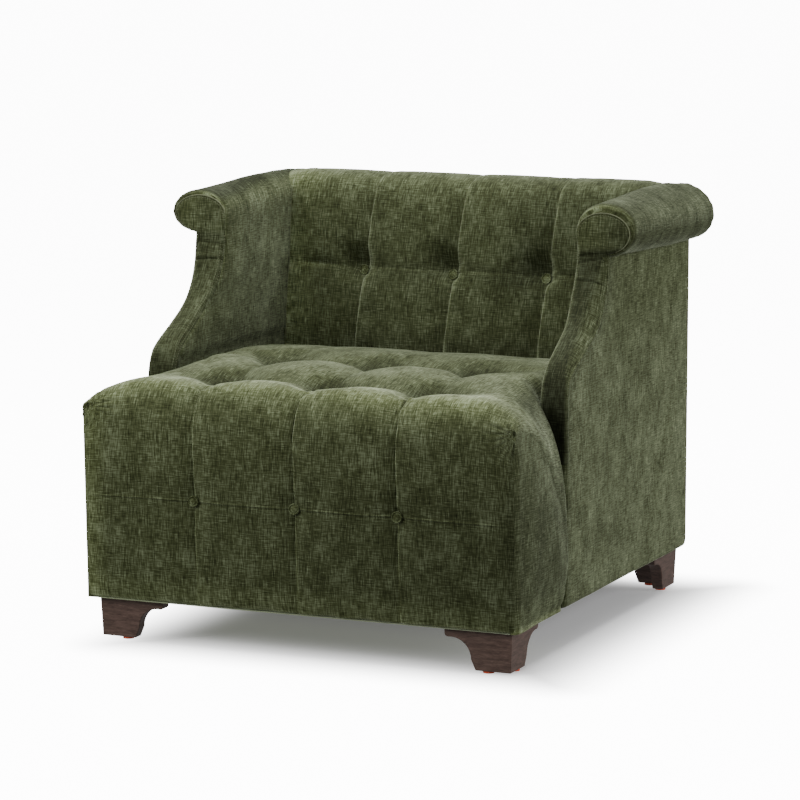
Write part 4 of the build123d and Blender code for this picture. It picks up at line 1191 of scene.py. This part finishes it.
def rearOutline():
    # the right half from the middle of the hem round to the middle of the top, then its mirror
    hem, wide, bend = chair["hemHeight"], rearPanel["halfWidth"], rearPanel["bend"]
    low = np.radians(np.linspace(0, 90, 7))
    lowCorner = np.stack([wide - bend * (1 - np.sin(low)), hem + bend - bend * np.cos(low)], axis=1)
    turn = np.radians(np.linspace(-72, 118, 40))
    outX, outZ = np.cos(turn), np.sin(turn)
    earX = chair["rollX"] + (chair["rollRadius"] - rearPanel["insideRoll"]) * outX
    earZ = chair["rollZ"] + (arm["rollTall"] - rearPanel["insideRoll"]) * outZ
    earZ = earZ + 0.4 * rollRise(outX, outZ) - rollDrop(outX, outZ)
    half = np.concatenate([
        np.linspace((0, hem), (370, hem), 14),
        lowCorner,
        np.linspace((wide, 110), (wide, 655), 24),
        np.stack([earX, earZ], axis=1),
        np.linspace((360, rearPanel["top"]), (0, rearPanel["top"]), 14),
    ])
    mirror = half[::-1] * np.array([-1, 1])
    return np.concatenate([half, mirror[1:-1]])


def makeOutsideBack(name):
    # a flat upholstered panel facing the back, rounded at its edge
    pts = rearOutline()
    tangent = unitRows(unitRows(np.roll(pts, -1, axis=0) - pts) + unitRows(pts - np.roll(pts, 1, axis=0)))
    inward = np.stack([-tangent[:, 1], tangent[:, 0]], axis=1)
    face, r = rearPanel["face"], rearPanel["edge"]
    rings = [(0.0, face - rearPanel["depth"])]
    for t in np.radians(np.linspace(0, 90, 7)):
        rings.append((r * (1 - math.cos(t)), face - r * (1 - math.sin(t))))
    rings.append((r + rearPanel["crown"][0], face + rearPanel["crown"][1]))
    grid = np.stack([np.insert(pts + inward * inset, 1, y, axis=1) for inset, y in rings])
    grid = np.concatenate([grid, grid[:, :1]], axis=1)

    def napAndLight(points, normals):
        return np.full(len(points), rearPanel["napAndLight"])
    return skin(name, [(grid, grid[..., [0, 2]])], napAndLight)


outsideBack = makeOutsideBack("outsideBack")
velvetPieces.append((outsideBack, 0.95, ["outside_back_panel"]))
print("outside back:", len(outsideBack.data.polygons), "faces")

velvetPieces += [(seatBlock, 0.85, ["seat_tufted_cover"]), (backCushion, 0.85, ["back_tufted_cover"])]

# buttons, stitches and welts with geometry nodes

def newTree(name, sizes):
    # sizes are the tree's named inputs, in metres
    tree = bpy.data.node_groups.new(name, "GeometryNodeTree")
    tree.interface.new_socket("Geometry", in_out="INPUT", socket_type="NodeSocketGeometry")
    for label, value in sizes.items():
        socket = tree.interface.new_socket(label, in_out="INPUT", socket_type="NodeSocketFloat")
        socket.default_value = value
    tree.interface.new_socket("Geometry", in_out="OUTPUT", socket_type="NodeSocketGeometry")
    return tree, tree.nodes.new("NodeGroupInput").outputs


def closeTree(tree, last, material):
    real = tree.nodes.new("GeometryNodeRealizeInstances")
    paint = tree.nodes.new("GeometryNodeSetMaterial")
    paint.inputs["Material"].default_value = material
    tree.links.new(last, real.inputs[0])
    tree.links.new(real.outputs[0], paint.inputs["Geometry"])
    tree.links.new(paint.outputs[0], tree.nodes.new("NodeGroupOutput").inputs[0])
    return tree


def ballMesh(tree, segments, rings):
    ball = tree.nodes.new("GeometryNodeMeshUVSphere")
    setInputs(ball, {"Segments": segments, "Rings": rings, "Radius": 0.5})
    return ball.outputs["Mesh"]


def spreadCopies(tree, points, shape, facing, sizes):
    # one copy on each point, its z turned to the facing and its x, y and z sized
    size = tree.nodes.new("ShaderNodeCombineXYZ")
    for socket, value in zip(size.inputs, sizes):
        tree.links.new(value, socket)
    turn = tree.nodes.new("FunctionNodeAlignRotationToVector")
    turn.axis = "Z"
    tree.links.new(facing, turn.inputs["Vector"])
    spread = tree.nodes.new("GeometryNodeInstanceOnPoints")
    tree.links.new(points, spread.inputs["Points"])
    tree.links.new(shape, spread.inputs["Instance"])
    tree.links.new(turn.outputs[0], spread.inputs["Rotation"])
    tree.links.new(size.outputs[0], spread.inputs["Scale"])
    return spread.outputs[0]


def runTree(name, source, tree, sizes):
    # the finished nodes become a plain mesh
    mod = source.modifiers.new("nodes", "NODES")
    mod.node_group = tree
    for item in tree.interface.items_tree:
        if item.in_out == "INPUT" and item.name in sizes:
            mod[item.identifier] = sizes[item.name]
    bpy.context.view_layer.update()
    made = bpy.data.meshes.new_from_object(source.evaluated_get(bpy.context.evaluated_depsgraph_get()))
    made.name = name
    bpy.data.objects.remove(source)
    bm = bmesh.new()
    bm.from_mesh(made)
    bmesh.ops.remove_doubles(bm, verts=bm.verts[:], dist=0.000005)
    bmesh.ops.recalc_face_normals(bm, faces=bm.faces[:])
    bm.to_mesh(made)
    bm.free()
    shadeSmooth(made)
    return addPiece(name, made)


buttons = {
    "sizes": {"Diameter": 0.020, "Dome": 0.0042},
    # across the button from its middle to its rim, and how high it stands there
    "profile": ((0.35, 0.78), (0.62, 0.55), (0.74, 0.42), (0.84, 0.80), (0.93, 0.72)),
    "frontY": -1.5,          # millimetres: the front row's depth, and how far the others stand off the cloth
    "topUp": 2.0,
    "backOut": 9.0,
}


def buttonTree():
    tree, sizes = newTree("cloth buttons", buttons["sizes"])
    nodes, links = tree.nodes, tree.links
    # a ball's upper half becomes a low dome inside a raised rim
    parts = nodes.new("ShaderNodeSeparateXYZ")
    links.new(nodes.new("GeometryNodeInputPosition").outputs[0], parts.inputs[0])
    x, y, z = parts.outputs
    square = mathNode(tree, "ADD", mathNode(tree, "MULTIPLY", x, x), mathNode(tree, "MULTIPLY", y, y))
    shape = nodes.new("ShaderNodeFloatCurve")
    curve = shape.mapping.curves[0]
    for spot in buttons["profile"]:
        curve.points.new(*spot)
    curve.points[0].location = (0.0, 0.85)
    curve.points[-1].location = (1.0, 0.0)
    shape.mapping.update()
    links.new(mathNode(tree, "MULTIPLY", mathNode(tree, "SQRT", square), 2.0), shape.inputs["Value"])
    above = mathNode(tree, "GREATER_THAN", z, 0.0)
    lower = mathNode(tree, "MULTIPLY", z, mathNode(tree, "SUBTRACT", 1.0, above))
    height = mathNode(tree, "MULTIPLY_ADD", shape.outputs[0], above, lower)
    join = nodes.new("ShaderNodeCombineXYZ")
    for value, socket in zip((x, y, height), join.inputs):
        links.new(value, socket)
    press = nodes.new("GeometryNodeSetPosition")
    links.new(ballMesh(tree, 32, 40), press.inputs["Geometry"])
    links.new(join.outputs[0], press.inputs["Position"])
    facing = nodes.new("GeometryNodeInputNamedAttribute")
    facing.data_type = "FLOAT_VECTOR"
    facing.inputs["Name"].default_value = "facing"
    size = (sizes["Diameter"], sizes["Diameter"], sizes["Dome"])
    copies = spreadCopies(tree, sizes["Geometry"], press.outputs[0], facing.outputs["Attribute"], size)
    return closeTree(tree, copies, buttonVelvet)


def makeButtons(name, places, facings):
    mesh = bpy.data.meshes.new(name + "Places")
    mesh.from_pydata(placed(places).tolist(), [], [])
    layer = mesh.attributes.new("facing", "FLOAT_VECTOR", "POINT")
    layer.data.foreach_set("vector", np.array(facings, np.float32).reshape(-1))
    return runTree(name, addPiece(name + "Places", mesh), clothButtons, buttons["sizes"])


def tuftAt(grid, cols, rows, x, run, reach):
    # middle of the cloth's points round a tuft
    return grid[np.outer(np.abs(rows - run) < reach, np.abs(cols - x) < reach)].mean(axis=0)


clothButtons = buttonTree()
places, facings = [], []
for column in seat["columns"]:
    at = tuftAt(seatTop, seatX, seatRows, column - 4, runButton, 8.0)
    places.append((at[0], buttons["frontY"], at[2]))
    facings.append((0.06, -1.0, 0.05))
    for row in (runOne, runTwo):
        places.append(tuftAt(seatTop, seatX, seatRows, column, row, 9.0) + np.array([0, 0, buttons["topUp"]]))
        facings.append((0.0, 0.0, 1.0))
seatButtons = makeButtons("seatButtons", places, facings)
places, facings = [], []
for column in backRest["columns"]:
    at = tuftAt(backFace, backX, backRows, column - 4, runTuft - 2, 8.0)
    places.append(at - np.array([0, buttons["backOut"], 0]))
    facings.append((-0.05, -1.0, 0.2))
backButtons = makeButtons("backButtons", places, facings)
print("buttons made")

stitch = {
    "sizes": {"Pitch": 0.0052, "Length": 0.0036, "Thick": 0.0007},
    "rows": (1.2, 5.2),      # millimetres in from the facing's inner edge
    "heights": (430, 676),
    "ringIn": 4.0,           # in from the edge of the scroll end
    "ringTurn": (186, 15),
    "stand": (0.3, 0.2),     # off the cloth, on the rows and on the ring
}


def stitchTree():
    tree, sizes = newTree("top stitching", stitch["sizes"])
    spaced = tree.nodes.new("GeometryNodeResampleCurve")
    spaced.mode = "LENGTH"
    tree.links.new(sizes["Geometry"], spaced.inputs["Curve"])
    tree.links.new(sizes["Pitch"], spaced.inputs["Length"])
    along = tree.nodes.new("GeometryNodeInputTangent").outputs[0]
    size = (sizes["Thick"], sizes["Thick"], sizes["Length"])
    copies = spreadCopies(tree, spaced.outputs[0], ballMesh(tree, 8, 5), along, size)
    return closeTree(tree, copies, threadCloth)


def curveObject(name, lines):
    data = bpy.data.curves.new(name, "CURVE")
    data.dimensions = "3D"
    for line in lines:
        spline = data.splines.new("POLY")
        pts = placed(line)
        spline.points.add(len(pts) - 1)
        spline.points.foreach_set("co", np.concatenate([pts, np.ones((len(pts), 1))], axis=1).reshape(-1))
    return addPiece(name, data)


def scrollRing(side, turn, grow, y):
    # a line round the scroll end, larger or smaller than its disc
    midX, midZ, wideHalf, tall = arm["scroll"][side]["disc"]
    x = side * (midX + (wideHalf + grow) * np.cos(turn))
    return np.stack([x, np.full(len(turn), y), midZ + (tall + grow) * np.sin(turn)], axis=1)


def onFace(piece, points):
    # depth of a piece's front face behind each point
    mesh = piece.data
    tree = BVHTree.FromPolygons([v.co for v in mesh.vertices], [p.vertices for p in mesh.polygons])
    hits = [tree.ray_cast(Vector((p[0], -1.0, p[2])), Vector((0, 1, 0)))[0] for p in placed(points)]
    return np.array([hit.y for hit in hits]) * 1000 - chair["frontY"]


topStitch = stitchTree()
stitchPieces = []
for side, hand in hands:
    z = np.linspace(*stitch["heights"], 120)
    lines = []
    for inset in stitch["rows"]:
        x = side * (arm["innerX"] - neckIn(z) + inset)
        into = edgeDrop(inset, arm["edge"]) - stitch["stand"][0]
        lines.append(np.stack([x, setBack(z, into), z], axis=1))
    # and once round the scroll end, laid on its face
    ring = scrollRing(side, np.radians(np.linspace(*stitch["ringTurn"], 90)), -stitch["ringIn"], 0.0)
    ring[:, 1] = onFace(armFaces[hand], ring) - stitch["stand"][1]
    lines.append(ring)
    path = curveObject("stitchPath_" + hand, lines)
    stitchPieces.append(runTree("topStitching_" + hand, path, topStitch, stitch["sizes"]))
print("stitching made")

welt = {
    "cord": {"Radius": 0.0028},
    "seam": {"Radius": 0.0009},
    "cordAt": (49.5, 44.0, 862.0),       # half width and half height round the roll's end, and depth
    "cordTurn": (60, -88),
    "seamOut": 0.3,                      # out from the scroll end's disc
    "seamY": 429.4,
    "seamTurn": (176, -62),
    "cornerX": 350.3,
    # heights, and how deep the corner between arm and back lies there
    "corner": ((452, 490, 545, 600, 655, 710, 742), (697.6, 698.6, 704.1, 716.8, 719.8, 724.7, 730.2)),
}


def weltTree(name, sizes, material):
    tree, inputs = newTree(name, sizes)
    ring = tree.nodes.new("GeometryNodeCurvePrimitiveCircle")
    ring.inputs["Resolution"].default_value = 10
    tree.links.new(inputs["Radius"], ring.inputs["Radius"])
    tube = tree.nodes.new("GeometryNodeCurveToMesh")
    tube.inputs["Fill Caps"].default_value = True
    tree.links.new(inputs["Geometry"], tube.inputs["Curve"])
    tree.links.new(ring.outputs["Curve"], tube.inputs["Profile Curve"])
    return closeTree(tree, tube.outputs[0], material)


weltCord = weltTree("welt cord", welt["cord"], buttonVelvet)
seamAndHighlightCord = weltTree("seam and highlight cord", welt["seam"], threadCloth)
weltLines, seamAndHighlightLines = [], []
for side in (-1, 1):
    # a cord round the back end of each roll
    turn = np.radians(np.linspace(*welt["cordTurn"], 50))
    outX, outZ = np.cos(turn), np.sin(turn)
    wide, tall, depth = welt["cordAt"]
    z = chair["rollZ"] + tall * outZ - rollDrop(outX, outZ)
    weltLines.append(np.stack([side * (chair["rollX"] + wide * outX), np.full(50, depth), z], axis=1))
    # thin seams run round the scroll ends, and down the corners between arms and back; the pale cord down
    # each corner is also a painted highlight of the lit cloth edge there
    turn = np.radians(np.linspace(*welt["seamTurn"], 70))
    seamAndHighlightLines.append(scrollRing(side, turn, welt["seamOut"], welt["seamY"]))
    z = np.linspace(welt["corner"][0][0], welt["corner"][0][-1], 60)
    y = np.interp(z, *welt["corner"])
    seamAndHighlightLines.append(np.stack([np.full(60, side * welt["cornerX"]), y, z], axis=1))
backWelt = runTree("backWelt", curveObject("weltPath", weltLines), weltCord, welt["cord"])
seamsAndHighlight = runTree("seamAndHighlightCords", curveObject("seamAndHighlightPath", seamAndHighlightLines), seamAndHighlightCord, welt["seam"])
print("welts made")

# feet

feet = {
    "bevel": 0.0014,         # metres
    "bevelOver": 32,         # degrees between two faces
    "sharpOver": 28,
    "flatWithin": 1.5,
}
footPieces = []
for name in ("foot_front_left", "foot_front_right", "foot_rear_left", "foot_rear_right"):
    mesh = frame["nodes"][name].data.copy()
    mesh.name = name.replace("foot", "bracketFoot")
    bm = bmesh.new()
    bm.from_mesh(mesh)
    bmesh.ops.remove_doubles(bm, verts=bm.verts[:], dist=0.00002)
    flat = math.radians(feet["flatWithin"])
    bmesh.ops.dissolve_limit(bm, angle_limit=flat, verts=bm.verts[:], edges=bm.edges[:])
    bm.to_mesh(mesh)
    bm.free()
    mesh.materials.clear()
    mesh.materials.append(bySlot["dark_wood"])
    piece = addPiece(mesh.name, mesh)
    mod = piece.modifiers.new("soft edges", "BEVEL")
    mod.width = feet["bevel"]
    mod.segments = 2
    mod.limit_method = "ANGLE"
    mod.angle_limit = math.radians(feet["bevelOver"])
    mod.harden_normals = True
    shadeSmooth(mesh)
    mesh.set_sharp_from_angle(angle=math.radians(feet["sharpOver"]))
    footPieces.append((piece, name))
print("feet made")

# everything rides on the one body

for piece, fill, nodes in velvetPieces:
    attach(piece, "root")
    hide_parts(*nodes)
for piece, nodes in ((seatButtons, ["seat_buttons"]), (backButtons, ["back_buttons"])):
    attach(piece, "root")
    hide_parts(*nodes)
for piece in stitchPieces + [backWelt, seamsAndHighlight]:
    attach(piece, "root")
for piece, name in footPieces:
    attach(piece, "root")
    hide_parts(name)

# floor, light and camera

studio = {                         # places and sizes are metres
    "floor": (0.9, 0.9, 0.9),
    "floorReach": 90.0,
    "floorGlow": 12.0,             # clear of the chair, fading to none beneath it: a painted shadow
    "floorGlowAt": (-0.22, 0.13),  # out from its footprint
    "footprint": (0.41, 0.445),
    "shadowAt": (0.07, 0.0),       # the shadow lies a little to the right
    "underGlow": 0.12,
    "worldStrength": 0.26,
    "lens": 162.0,
    "cameraAt": (2.5853, -5.9317, 1.3699),
    "lookAt": (0.0186, -0.028, 0.3963),
    "boxes": (                     # name, place, target, size and watts
        ("topBox", (0.0, 0.2, 3.3), (0, 0, 0.4), 2.6, 150),
        ("leftBox", (-2.2, -3.3, 2.5), (0, 0, 0.4), 2.0, 114),
        ("rightBox", (3.6, 0.3, 1.4), (0.2, 0, 0.4), 2.0, 78),
    ),
}


def makeFloorPaint():
    mat, tree, shader = newMaterial("pale floor")
    setInputs(shader, {"Base Color": (*studio["floor"], 1), "Roughness": 0.7, "Specular IOR Level": 0.2})
    shader.inputs["Emission Color"].default_value = (1, 1, 1, 1)
    parts = tree.nodes.new("ShaderNodeSeparateXYZ")
    tree.links.new(tree.nodes.new("ShaderNodeTexCoord").outputs["Object"], parts.inputs[0])
    # distance from the footprint, negative beneath the chair
    off = []
    for place, middle, half in zip(parts.outputs, studio["shadowAt"], studio["footprint"]):
        away = mathNode(tree, "ABSOLUTE", mathNode(tree, "SUBTRACT", place, middle))
        off.append(mathNode(tree, "SUBTRACT", away, half))
    beneath = mathNode(tree, "MINIMUM", mathNode(tree, "MAXIMUM", *off), 0.0)
    square = [mathNode(tree, "POWER", mathNode(tree, "MAXIMUM", gap, 0.0), 2.0) for gap in off]
    clear = mathNode(tree, "ADD", beneath, mathNode(tree, "SQRT", mathNode(tree, "ADD", *square)))
    # the glow fading out under the chair paints most of its shadow on the floor; the lamps' own shadow shows
    # only in the floor's diffuse part
    glow = tree.nodes.new("ShaderNodeMapRange")
    glow.interpolation_type = "SMOOTHSTEP"
    setInputs(glow, dict(zip(("From Min", "From Max"), studio["floorGlowAt"])))
    tree.links.new(clear, glow.inputs["Value"])
    rising = mathNode(tree, "POWER", glow.outputs["Result"], 4.0)
    strength = mathNode(tree, "MULTIPLY_ADD", rising, studio["floorGlow"], studio["underGlow"])
    tree.links.new(strength, shader.inputs["Emission Strength"])
    return mat


def aim(thing, at, target):
    thing.location = at
    thing.rotation_euler = (Vector(target) - Vector(at)).to_track_quat("-Z", "Y").to_euler()


mesh = bpy.data.meshes.new("studioFloor")
reach = studio["floorReach"]
corners = [(-reach, -reach, 0), (reach, -reach, 0), (reach, reach, 0), (-reach, reach, 0)]
mesh.from_pydata(corners, [], [(0, 1, 2, 3)])
mesh.materials.append(makeFloorPaint())
floor = addPiece("studioFloor", mesh)
floor.visible_diffuse = False   # a plain backdrop that throws no light on to the chair
floor.visible_glossy = False
floor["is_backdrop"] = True

world = bpy.data.worlds.new("studio")
bpy.context.scene.world = world
world.use_nodes = True
setInputs(world.node_tree.nodes["Background"], {"Color": (1, 1, 1, 1), "Strength": studio["worldStrength"]})

for name, at, target, size, watts in studio["boxes"]:
    data = bpy.data.lights.new(name, "AREA")
    data.shape = "SQUARE"
    data.size = size
    data.energy = watts
    aim(addPiece(name, data), at, target)

data = bpy.data.cameras.new("photoView")
data.lens = studio["lens"]
data.sensor_width = 36.0
data.clip_end = 200
camera = addPiece("photoView", data)
aim(camera, studio["cameraAt"], studio["lookAt"])
bpy.context.scene.camera = camera
print("floor, lights and camera made")

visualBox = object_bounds()
lowGrowth = [round((a - b) * 1000, 1) for a, b in zip(cadBox[0], visualBox[0])]
highGrowth = [round((b - a) * 1000, 1) for a, b in zip(cadBox[1], visualBox[1])]
print("box grew by", lowGrowth, highGrowth, "mm")
